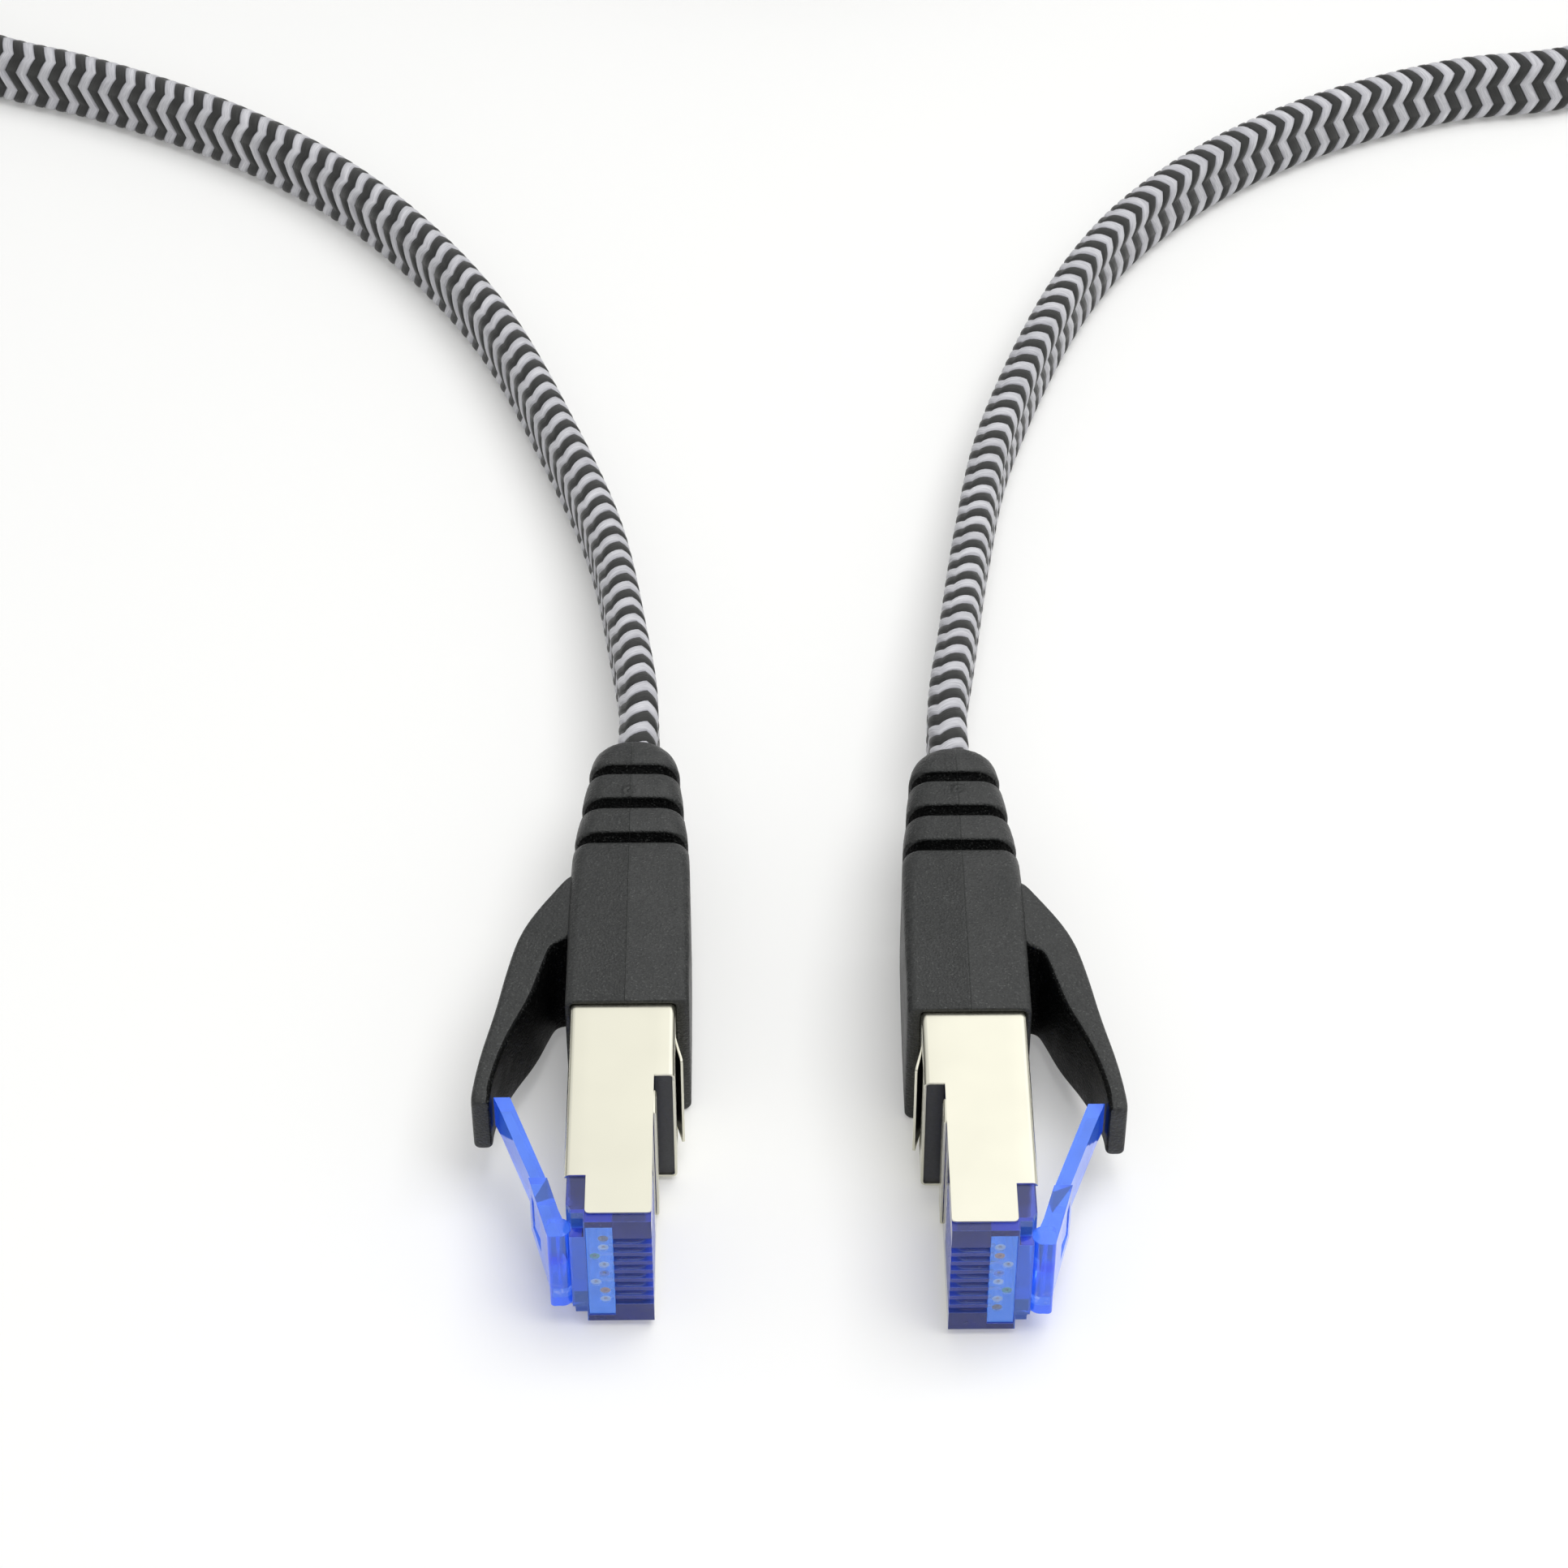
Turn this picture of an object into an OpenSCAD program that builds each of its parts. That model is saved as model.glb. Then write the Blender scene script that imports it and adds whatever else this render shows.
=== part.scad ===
// Shielded 8P8C ethernet patch cable: two moulded plugs, each lying on its side, joined by one flat
// braided cord that stands on edge. The plug's own axes are X from the contact face towards the latch,
// Y from the nose back to the cable and Z across its width. The right plug lies with its latch towards
// +X, the left plug is its mirror image. Z is up, and the origin is midway between the plugs, on the
// surface that they lie on.

/* [Housing] */
// Width of the moulded housing, across the eight contacts
housing_w = 11.68; // [11.5:0.02:11.8]
// Length of the housing, from the nose back
housing_len = 21.46; // [21:0.02:21.8]
// Thickness of the nose, from the contact face to the latch's recess
nose_t = 5.1; // [4.9:0.05:5.3]
// Thickness of the housing over its two side rails
rail_t = 6.44; // [6.2:0.02:6.6]
// Width of each side rail
rail_w = 2.3; // [1.6:0.1:2.4]
// Distance of the rails' front ends behind the nose
rail_front = 0.9; // [0.5:0.1:1.5]
// Distance from the nose back to the deep rear part of the shell
step_y = 14.55; // [14.2:0.05:15]

/* [Contacts] */
// Number of contacts and of conductors
ways = 8; // [8:1:8]
// Distance between neighbouring contacts
pitch = 1.016; // [1:0.004:1.02]
// Thickness of a contact blade
blade_t = 0.35; // [0.25:0.05:0.4]
// Length of a contact blade
blade_len = 5.7; // [5:0.1:6]
// Depth of the contact's top edge below the contact face
blade_sink = 0.5; // [0.4:0.05:0.7]
// Width of a contact slot
slot_w = 0.6; // [0.5:0.05:0.65]
// Length of the contact slots, from the nose back
slot_len = 6.9; // [6.6:0.1:7.5]

/* [Load bar] */
// Distance from the contact face to the load bar
bar_x = 2.95; // [2.8:0.05:3]
// Thickness of the load bar
bar_t = 2; // [1.95:0.01:2.03]
// Width of the load bar
bar_w = 10.3; // [9.6:0.1:10.6]
// Length of the load bar
bar_len = 10.5; // [9:0.1:11]
// Distance of the load bar's end behind the nose
bar_front = 0.3; // [0.2:0.05:0.5]

/* [Wires] */
// Diameter over the insulation of a conductor
wire_d = 0.84; // [0.7:0.02:0.9]
// Diameter of a copper core
copper_d = 0.32; // [0.25:0.01:0.4]
// Depth of the upper row of conductors below the contact face
row_near = 3.68; // [3.6:0.02:3.7]
// Depth of the lower row, where conductors 3 and 6 lie
row_far = 4.36; // [4.3:0.02:4.4]
// Distance between neighbouring pairs in the flat cable
pair_pitch = 1.78; // [1.76:0.02:1.8]
// Thickness of the foil round each pair
foil_t = 0.03; // [0.02:0.01:0.04]
// Diameter of the drain wire
drain_d = 0.3; // [0.2:0.05:0.35]

/* [Shell] */
// Thickness of the shell's sheet metal
sheet_t = 0.2; // [0.15:0.01:0.22]
// Depth of the shell's rear part past the contact face
deep_x = 1.6; // [1.4:0.05:1.8]
// Distance from the nose to the front end of the side plates
plate_front = 0.73; // [0.6:0.01:0.9]
// Distance from the nose to the notch that clears the latch
notch_y = 4.43; // [4:0.05:5]
// Depth from the contact face to the notch's long edge
notch_x = 5.0; // [4.8:0.05:5.1]
// Distance from the nose to the start of the latch-side plate
latch_plate_y = 9; // [8.5:0.1:10]
// Distance from the nose to the shell's rear end, inside the boot
shell_end = 25; // [24.5:0.1:25.5]
// Distance from the nose to the band that crosses the contact face
band_y = 10.6; // [10:0.1:11.5]
// Width of that band
band_len = 2.3; // [1.5:0.1:3]
// Length of the ground finger
finger_len = 2.9; // [2.5:0.1:4]
// Width of the ground finger
finger_w = 9.8; // [8:0.1:10.4]
// Distance that the finger's free end stands out
finger_lift = 0.6; // [0.4:0.05:0.9]

/* [Latch] */
// Distance from the nose to the living hinge
hinge_y = 0.95; // [0.93:0.01:1.1]
// Depth from the contact face to the living hinge
hinge_x = 7.0; // [6.9:0.05:7.2]
// Radius of the latch's root
root_r = 0.9; // [0.7:0.01:0.92]
// Width of the latch's root and of the block that it grows from
root_w = 8.2; // [7:0.1:8.4]
// Width over the latch's shoulders
shoulder_w = 6.14; // [5.8:0.02:6.15]
// Distance from the nose to the shoulders
shoulder_y = 6.73; // [6.5:0.05:7]
// Width of the lever behind the shoulders
lever_w = 3.26; // [3:0.02:3.4]
// Distance from the nose to the lever's tip
lever_tip = 16.2; // [15.6:0.1:16.4]

/* [Boot] */
// Width of the boot, across the plug
boot_w = 13; // [12.8:0.1:13.4]
// Distance that the boot stands past the contact face
boot_near = 2.65; // [2.4:0.05:2.9]
// Distance from the contact face to the boot's latch side
boot_far = 7.1; // [7:0.05:7.3]
// Distance from the nose to the boot's front
boot_front = 21.9; // [21.6:0.1:22.4]
// Distance from the nose to the first groove, where the boot's main part ends
boot_main_end = 40.1; // [39.5:0.1:41]
// Length of each groove, along the cable
groove_len = 1.3; // [1:0.1:1.6]
// Length of each of the two rings between the grooves
ring_len = 2.95; // [2.4:0.05:3.1]
// Length of the domed collar that the cable leaves
collar_len = 4.1; // [4:0.1:5.5]
// Distance from the contact face to the cable's middle
cable_x = 2.05; // [1.9:0.05:2.2]
// Length of the inner mould behind the shell
mould_len = 12; // [11:0.1:13]

/* [Latch guard] */
// Distance from the nose to the arm's flexing root
arm_root_y = 30.3; // [29.8:0.1:30.8]
// Depth from the contact face to the arm's flexing root
arm_root_x = 9.2; // [9.1:0.05:9.4]
// Radius of the arm's root
arm_root_r = 1.25; // [1.1:0.05:1.3]
// Distance from the contact face to the outside of the arm's tip
arm_tip_x = 14.35; // [14.1:0.05:14.6]
// Thickness of the arm's tip
arm_tip_t = 1.55; // [1.4:0.05:1.8]
// Height of the arm's tip
arm_tip_w = 5.6; // [5:0.1:6]
// Distance from the nose to the arm's tip
arm_tip_y = 14.6; // [14.2:0.1:15]
// Travel of the arm under a finger, in degrees
press_deg = 12; // [8:1:12]

/* [Cord] */
// Height of the flat cord, which stands on edge
cord_w = 7.4; // [7:0.1:7.6]
// Thickness of the flat cord
cord_t = 3.4; // [3:0.1:3.5]
// Full turns of the stored coil, besides the part turn that joins its two ends
coil_turns = 3; // [1:1:5]
// Radius of the coil's outermost turn, to the cord's middle
coil_r = 43.2; // [40:0.2:48]
// Gap between neighbouring turns and layers
coil_gap = 0.7; // [0.6:0.05:1]

/* [Layout] */
// Distance between the two plugs' contact faces
face_gap = 22.4; // [20:0.1:30]
// How far the right plug lies in front of the left one
stagger = 1.1; // [0:0.1:3]

/* [Hidden] */
$fn = 48;
HULL_FN = 32;

// clearances
fit = 0.02;        // between pieces that are pressed or moulded together
run = 0.05;        // round a flexing root, between two moving pieces
seat = 0.01;       // between a wire and what guides it
eps = 0.01;        // overshoot of a cut past a face

// what follows from the sizes above
mid = boot_w / 2;                                       // height of each plug's middle
shell_in = housing_w / 2 + fit;                         // half width inside the shell
shell_out = shell_in + sheet_t;                         // half width over the shell
latch_side = rail_t + fit;                              // inside of the latch-side plate
groove_1 = boot_main_end + groove_len;                  // end of the first groove
ring_1 = groove_1 + ring_len;
groove_2 = ring_1 + groove_len;
ring_2 = groove_2 + ring_len;
groove_3 = ring_2 + groove_len;
boot_end = groove_3 + collar_len;
mould_end = shell_end + mould_len;
ferrule_y = shell_end + 2.5;                            // front of the crimp ferrule
ferrule_len = 4;
ferrule_t = 0.35;
mould_wall = 0.9;                                       // of the inner mould round the ferrule
mould_t = cord_t / 2 + ferrule_t + mould_wall;          // half thickness and half width of its rear part
mould_w = cord_w / 2 + ferrule_t + mould_wall;
jacket_y = shell_end + 2;                               // where the cable's jacket is cut back
foil_y = 19.2;                                          // where the pairs leave their foils
fan_y = bar_front + bar_len + 0.6;                      // where the conductors start to close up
pair_y = foil_y - 1.2;                                  // where they run side by side again
cross_y = fan_y + 2.6;                                  // where the far row crosses over
cross_len = 2;
wire_front = bar_front + 0.15;
half_len = boot_end / 2;
core_t = cord_t / 2 + 1.3;                              // half thickness of the boot inside its grooves
layer_rise = cord_w + coil_gap;
turn_step = cord_t + coil_gap;

// places of the conductors: pins 3 and 6 lie in the far row
function pin_z(i) = (i - (ways - 1) / 2) * pitch;
function pin_x(i) = (i == 2 || i == 5) ? row_far : row_near;
// side by side in the cable: four pairs, where 2 and 5 make one and 3 and 4 the next
CABLE_PLACE = [0, 1, 2, 4, 5, 3, 6, 7];
function pair_z(i) = (floor(i / 2) - 1.5) * pair_pitch + (i % 2 - 0.5) * (wire_d + seat);
function cable_z(i) = pair_z(CABLE_PLACE[i]);

// plug places -------------------------------------------------------------------------------------
module on_right() {
    translate([face_gap / 2, -half_len - stagger / 2, mid]) children();
}
module on_left() {
    translate([-face_gap / 2, -half_len + stagger / 2, mid]) mirror([1, 0, 0]) children();
}
// a block between two corners that stands h to either side of the plug's middle
module slab(x0, x1, y0, y1, h) {
    translate([x0, y0, -h]) cube([x1 - x0, y1 - y0, 2 * h]);
}
// an outline in X and Y, drawn h to either side of the plug's middle
module plate(h) {
    translate([0, 0, -h]) linear_extrude(2 * h) children();
}
// a flat bar with round long edges that runs along Y, as the cable does
module flat_bar(y0, y1, t, w) {
    translate([cable_x, y0, 0]) rotate([-90, 0, 0]) linear_extrude(y1 - y0) union() {
        translate([-t / 2, -(w - t) / 2]) square([t, w - t]);
        for (s = [-1, 1]) translate([0, s * (w - t) / 2]) circle(d = t);
    }
}
// one conductor: straight through the load bar, then in to its place in the flat cable; the two of the
// far row cross over the rest before they sink
module conductor(i, d, y0, y1) {
    over = pin_x(i) == row_far;
    a = [pin_x(i), y0, pin_z(i)];
    b = [pin_x(i), over ? cross_y : fan_y, pin_z(i)];
    sunk = over ? [[row_far, cross_y + cross_len, cable_z(i)]] : [];
    c = [cable_x, pair_y, cable_z(i)];
    e = [cable_x, y1, cable_z(i)];
    sweep(concat([a, b], sunk, [c, e]), [for (k = [0:11]) [cos(30 * k), sin(30 * k)] * d / 2]);
}
// the pointed teeth of a blade, as thick as t, down to the depth x
module teeth(i, t, x) {
    for (k = [0:2]) translate([bar_x - fit, 1.5 + k * 1.5, pin_z(i) - t / 2])
        linear_extrude(t) polygon([[0, -0.4], [x - bar_x + fit, 0], [0, 0.4]]);
}

// pieces of a plug --------------------------------------------------------------------------------
module housing() {
    color([0.16, 0.25, 0.85, 0.6]) difference() {
        union() {
            slab(0, nose_t, 0, housing_len, housing_w / 2);
            for (s = [-1, 1]) translate([0, 0, s * (housing_w - rail_w) / 2])
                slab(nose_t - eps, rail_t, rail_front, housing_len, rail_w / 2);
            slab(nose_t - eps, hinge_x - root_r + 0.1, 0, hinge_y + 1.3, root_w / 2);
        }
        // the eight slots, open at the nose and at the contact face
        for (i = [0:ways - 1]) translate([-eps, -eps, pin_z(i) - slot_w / 2])
            cube([bar_x + 2 * eps, slot_len, slot_w]);
        // the pocket of the load bar, and the room for the wires behind it
        slab(bar_x, bar_x + bar_t + fit, -eps, bar_front + bar_len + fit, bar_w / 2 + fit);
        slab(0.5, nose_t - 0.15, bar_front + bar_len, housing_len + eps, bar_w / 2 + fit);
        // the round seat of the latch's root
        translate([hinge_x, hinge_y, 0]) cylinder(r = root_r + run, h = 2 * shoulder_w, center = true);
    }
}
module latch_lever() {
    color([0.2, 0.35, 0.95, 0.7]) {
        difference() {
            union() {
                translate([hinge_x, hinge_y, 0]) cylinder(r = root_r, h = root_w, center = true);
                plate(shoulder_w / 2) polygon([
                    [hinge_x + root_r * 0.97, hinge_y - 0.15], [hinge_x + 2.53, shoulder_y],
                    [hinge_x + 1.1, shoulder_y], [hinge_x + 0.14, hinge_y + 2.55],
                    [hinge_x - root_r * 0.75, hinge_y + root_r * 0.55]
                ]);
            }
            // the hollow between the shoulders
            translate([hinge_x + 1.45, hinge_y + 2.6, -shoulder_w / 2 + 1.1])
                rotate([0, 0, -18]) cube([2, 2.6, shoulder_w - 2.2]);
        }
        plate(lever_w / 2) polygon([
            [hinge_x + 1.1, shoulder_y - eps], [hinge_x + 1.35, 8.05], [hinge_x + 2.45, 11.1],
            [hinge_x + 4.36, lever_tip], [hinge_x + 5.66, lever_tip], [hinge_x + 5.08, lever_tip - 1.34],
            [hinge_x + 2.53, 8], [hinge_x + 2.53, shoulder_y - eps]
        ]);
    }
}
module shield() {
    side = [
        [0, plate_front], [notch_x, plate_front], [notch_x, notch_y], [latch_side + sheet_t, notch_y],
        [latch_side + sheet_t, shell_end], [-deep_x, shell_end], [-deep_x, step_y], [0, step_y],
        [0, band_y + band_len], [-fit - sheet_t, band_y + band_len], [-fit - sheet_t, band_y],
        [0, band_y]
    ];
    color([0.86, 0.85, 0.8]) {
        for (s = [-1, 1]) translate([0, 0, s * (shell_in + sheet_t / 2)]) plate(sheet_t / 2) polygon(side);
        slab(latch_side, latch_side + sheet_t, latch_plate_y, shell_end, shell_out);
        slab(-fit - sheet_t, -fit, band_y, band_y + band_len, shell_out);
        // the deep rear wall, cut round its ground finger
        difference() {
            slab(-deep_x, -deep_x + sheet_t, step_y, shell_end, shell_out);
            slab(-deep_x - eps, -deep_x + sheet_t + eps, finger_root() - finger_len - 0.3,
                 finger_root(), finger_w / 2 + 0.3);
        }
        plate(finger_w / 2) polygon([
            [-deep_x, finger_root() + eps], [-deep_x + sheet_t, finger_root() + eps],
            [-deep_x + sheet_t - finger_lift, finger_root() - finger_len],
            [-deep_x - finger_lift, finger_root() - finger_len]
        ]);
    }
}
function finger_root() = boot_front - 2;
module contacts() {
    color([0.85, 0.65, 0.25]) for (i = [0:ways - 1]) {
        translate([0, 0, pin_z(i) - blade_t / 2]) linear_extrude(blade_t) union() {
            translate([blade_sink, 1.1]) square([bar_x - fit - blade_sink, blade_len - 0.6]);
            translate([blade_sink + 0.6, 0.5]) square([bar_x - fit - blade_sink - 0.6, blade_len]);
            translate([blade_sink + 0.6, 1.1]) circle(r = 0.6);
        }
        teeth(i, blade_t, pin_x(i) - copper_d / 2 - seat);
    }
}
module load_bar() {
    color([0.62, 0.72, 0.9]) difference() {
        slab(bar_x + fit / 2, bar_x + bar_t, bar_front, bar_front + bar_len, bar_w / 2);
        for (i = [0:ways - 1]) {
            translate([pin_x(i), 0, pin_z(i)]) rotate([-90, 0, 0])
                cylinder(d = wire_d + 2 * seat, h = bar_front + bar_len + 1);
            translate([bar_x - eps, 0.9, pin_z(i) - blade_t / 2 - fit])
                cube([pin_x(i) - bar_x, 5.1, blade_t + 2 * fit]);
        }
    }
}
// the insulation of a pair's two conductors, hollow for their copper and cut where the teeth go in
module pair(pins, shade) {
    color(shade) for (k = pins) difference() {
        conductor(k, wire_d, wire_front, jacket_y);
        conductor(k, copper_d + seat, wire_front - 1, jacket_y + 1);
        teeth(k, blade_t + 2 * fit, pin_x(k));
    }
}
module copper_cores() {
    color([0.8, 0.45, 0.25]) for (i = [0:ways - 1])
        conductor(i, copper_d, wire_front + 0.2, jacket_y);
}
module pair_foils() {
    inner_t = wire_d + 4 * seat;
    inner_w = pair_pitch - seat - 2 * foil_t;
    color([0.75, 0.77, 0.8]) for (k = [-1.5:1:1.5]) translate([0, 0, k * pair_pitch]) difference() {
        flat_bar(foil_y, jacket_y, inner_t + 2 * foil_t, inner_w + 2 * foil_t);
        flat_bar(foil_y - eps, jacket_y + eps, inner_t, inner_w);
    }
}
module drain_wire() {
    x = cable_x + wire_d / 2 + foil_t + drain_d;
    color([0.7, 0.7, 0.72]) translate([x, foil_y + 0.5, 0]) rotate([-90, 0, 0])
        cylinder(d = drain_d, h = jacket_y - foil_y - 0.5);
}
module crimp_ferrule() {
    color([0.72, 0.72, 0.7]) difference() {
        flat_bar(ferrule_y, ferrule_y + ferrule_len, cord_t + 2 * ferrule_t, cord_w + 2 * ferrule_t);
        flat_bar(ferrule_y - eps, ferrule_y + ferrule_len + eps, cord_t + seat, cord_w + seat);
    }
}
module cable_end() {
    color([0.3, 0.3, 0.34]) flat_bar(jacket_y, boot_end, cord_t, cord_w);
}
module mould_shape() {
    slab(-deep_x + sheet_t + fit, latch_side - fit, housing_len + fit, shell_end, shell_in - fit);
    slab(cable_x - mould_t, cable_x + mould_t, shell_end - eps, mould_end, mould_w);
    // the lip that fills the deep rear part of the shell, beside the housing
    slab(-deep_x + sheet_t + fit, -2 * fit, step_y + sheet_t, housing_len + 1, shell_in - fit);
}
module inner_mould() {
    color([0.12, 0.12, 0.13]) difference() {
        mould_shape();
        // the slot of the foiled pairs, then the cable and its ferrule
        slab(cable_x - 1.2, cable_x + 1.2, housing_len, jacket_y + eps, 2 * pair_pitch + 0.2);
        flat_bar(jacket_y - eps, mould_end + eps, cord_t + 2 * fit, cord_w + 2 * fit);
        flat_bar(ferrule_y - fit, ferrule_y + ferrule_len + fit,
                 cord_t + 2 * ferrule_t + 2 * fit, cord_w + 2 * ferrule_t + 2 * fit);
    }
}
// a thin rounded section of the boot, from x0 to x1 and h to either side
module section(y, x0, x1, h, r) {
    translate([0, y, 0]) rotate([-90, 0, 0]) linear_extrude(eps) union() {
        translate([x0 + r, -h]) square([x1 - x0 - 2 * r, 2 * h]);
        translate([x0, -h + r]) square([x1 - x0, 2 * h - 2 * r]);
        for (x = [x0 + r, x1 - r]) for (z = [-h + r, h - r])
            translate([x, z]) circle(r = r, $fn = HULL_FN);
    }
}
module boot() {
    color([0.2, 0.2, 0.21]) difference() {
        union() {
            hull() {
                section(boot_front, -boot_near, boot_far, mid, 0.8);
                section(boot_front + 4, -boot_near, boot_far, mid, 0.9);
                section(boot_main_end - 0.6, 0.15 - boot_near, boot_far - 0.05, mid - 0.45, 1.6);
                section(boot_main_end - eps, 0.3 - boot_near, boot_far - 0.25, mid - 0.65, 1.6);
            }
            hull() for (y = [boot_main_end - 1, groove_3 + 1])
                section(y, cable_x - core_t, cable_x + core_t, mid - 2, 1.6);
            boot_ring(groove_1, ring_1, 0.25 - boot_near, boot_far - 0.15, mid - 0.6);
            boot_ring(groove_2, ring_2, 0.65 - boot_near, boot_far - 0.65, mid - 0.8);
            // the domed collar
            hull() {
                section(groove_3, 1 - boot_near, boot_far - 1.1, mid - 1.05, 2);
                section(groove_3 + collar_len * 0.4, 1.25 - boot_near, boot_far - 1.3, mid - 1.2, 2.2);
                section(groove_3 + collar_len * 0.66, 1.65 - boot_near, boot_far - 1.6, mid - 1.5, 2.2);
                section(groove_3 + collar_len * 0.85, 2.15 - boot_near, boot_far - 2.1, mid - 1.9, 2.2);
                section(boot_end - eps, cable_x - cord_t / 2 - 0.35, cable_x + cord_t / 2 + 0.55,
                        cord_w / 2 + 0.4, 1.9);
            }
            arm_stub();
        }
        // the shell, the inner mould and the cable, each with its fit
        slab(-deep_x - fit, latch_side + sheet_t + fit, boot_front - eps, shell_end + fit, shell_out + fit);
        slab(cable_x - mould_t - fit, cable_x + mould_t + fit, shell_end, mould_end + fit, mould_w + fit);
        flat_bar(mould_end, boot_end + eps, cord_t + 2 * fit, cord_w + 2 * fit);
        // the round seat of the arm's root
        translate([arm_root_x, arm_root_y, 0])
            cylinder(r = arm_root_r + run, h = 2 * boot_w, center = true);
    }
}
module boot_ring(y0, y1, x0, x1, h) {
    hull() {
        section(y0, x0, x1, h, 2);
        section(y1 - eps, x0 + 0.25, x1 - 0.35, h - 0.15, 2);
    }
}
// the fixed foot that the arm grows from
module arm_stub() {
    plate(arm_half(arm_root_y)) polygon([
        [boot_far - 0.9, arm_root_y - 0.4], [arm_root_x - 0.2, arm_root_y - 0.4],
        [arm_root_x + 1.05, arm_root_y + 1], [arm_root_x + 0.9, arm_root_y + 2.4],
        [arm_root_x - 0.4, arm_root_y + 4.4], [boot_far - 0.5, arm_root_y + 6.9],
        [boot_far - 0.9, arm_root_y + 6.9]
    ]);
}
// half height of the arm, which widens from its tip to its root
function arm_half(y) = arm_tip_w / 2 + 0.14 * (y - arm_tip_y);
// place along the arm, from 0 at its root to 1 at its tip
function along(t) = arm_root_y + t * (arm_tip_y - arm_root_y);
module latch_guard() {
    inside = arm_tip_x - arm_tip_t;
    outline = [
        [arm_root_x + arm_root_r * 0.86, arm_root_y + arm_root_r * 0.5], [arm_root_x + 2.2, along(0.04)],
        [arm_root_x + 2.67, along(0.17)], [arm_root_x + 3.42, along(0.42)], [arm_tip_x - 0.65, along(0.69)],
        [arm_tip_x - 0.15, along(0.85)], [arm_tip_x, along(0.98)], [arm_tip_x - 0.25, arm_tip_y],
        [inside, arm_tip_y], [inside, along(0.9)], [inside - 0.4, along(0.78)], [arm_root_x + 2, along(0.55)],
        [arm_root_x + 0.95, along(0.41)], [arm_root_x + 0.25, along(0.28)], [arm_root_x - 0.25, along(0.16)],
        [arm_root_x - arm_root_r * 0.75, arm_root_y - arm_root_r * 0.55]
    ];
    color([0.2, 0.2, 0.21]) intersection() {
        union() {
            plate(boot_w / 2) polygon(outline);
            translate([arm_root_x, arm_root_y, 0]) cylinder(r = arm_root_r, h = boot_w, center = true);
        }
        // its height tapers towards the tip
        rotate([0, 90, 0]) linear_extrude(arm_tip_x + 1) polygon([
            [-arm_half(arm_tip_y), arm_tip_y - 1], [arm_half(arm_tip_y), arm_tip_y - 1],
            [arm_half(arm_root_y), arm_root_y + 3], [-arm_half(arm_root_y), arm_root_y + 3]
        ]);
    }
}

// the cord ----------------------------------------------------------------------------------------
// places along each free stretch, from the boot to the coil
LEFT_ROUTE = [
    [-14.4, 45, 5.6], [-16.8, 60, 4.3], [-21, 74, 3.7], [-28.7, 93.5, 3.7], [-37.8, 108.1, 3.7],
    [-46.6, 118.1, 3.7], [-55.5, 125.3, 3.7], [-64.4, 130.8, 3.7], [-73.3, 135.2, 3.7],
    [-82.2, 138.8, 3.7], [-92.9, 146, 3.7], [-99.7, 156.9, 3.7], [-101.5, 169.7, 3.7],
    [-98, 182.1, 3.7], [-89.5, 192.1, 3.7], [-75, 203, 3.7], [-61, 213.7, 3.7]
];
RIGHT_ROUTE = [
    [14.6, 44.5, 5.6], [16.7, 60, 4.3], [19.3, 74, 3.7], [26.2, 94, 3.7], [31.7, 104.8, 3.7],
    [37.1, 112.1, 3.7], [44.2, 119.2, 3.7], [53.1, 125.6, 3.7], [62, 130.1, 3.7], [70.9, 133.2, 3.7],
    [81.3, 135, 3.7], [94, 140.2, 3.7], [102.9, 150.5, 3.7], [106.2, 163.7, 3.7], [103.3, 177.1, 3.7],
    [94.6, 187.8, 4.6], [80, 199.1, 7.2], [65, 210.6, 10.4]
];
left_exit = [-face_gap / 2 - cable_x, boot_end - half_len + stagger / 2, mid];
right_exit = [face_gap / 2 + cable_x, boot_end - half_len - stagger / 2, mid];

// the coil lies behind the plugs: it starts at this angle on its circle and winds clockwise
coil_centre = [0, 206];
start_deg = 127.5;
wrap_deg = 2 * start_deg - 180 + 360 * coil_turns;
COIL_STEPS = wrap_deg / 15;
floor_z = cord_w / 2;
function coil_radius(a) = coil_r - turn_step * min(a, wrap_deg - a) / 360;
function smooth(t) = t <= 0 ? 0 : t >= 1 ? 1 : t * t * (3 - 2 * t);
function coil_z(a) = floor_z + layer_rise * smooth((a - wrap_deg / 2 + 90) / 180);
function on_coil(a) = [
    coil_centre[0] + coil_radius(a) * cos(start_deg - a),
    coil_centre[1] + coil_radius(a) * sin(start_deg - a), coil_z(a)
];
lead = [cos(start_deg - 90), sin(start_deg - 90), 0] * cord_w;      // the straight lead-in, one cord wide
coil_in = on_coil(0) - lead;
coil_out = on_coil(wrap_deg) + [lead[0], -lead[1], 0];
coil_path = concat([coil_in], [for (i = [0:COIL_STEPS]) on_coil(wrap_deg * i / COIL_STEPS)], [coil_out]);
out = [0, cord_w, 0];                                   // straight out of the boot, one cord wide
left_path = concat([left_exit, left_exit + out], LEFT_ROUTE, [coil_in - 2 * lead, coil_in]);
right_path = concat([right_exit, right_exit + out], RIGHT_ROUTE,
                    [coil_out + 2 * [lead[0], -lead[1], 0], coil_out]);

function unit(v) = v / norm(v);
function way(p, i) = unit(
    i == 0 ? p[1] - p[0] : i == len(p) - 1 ? p[i] - p[i - 1] : unit(p[i + 1] - p[i]) + unit(p[i] - p[i - 1])
);
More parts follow.
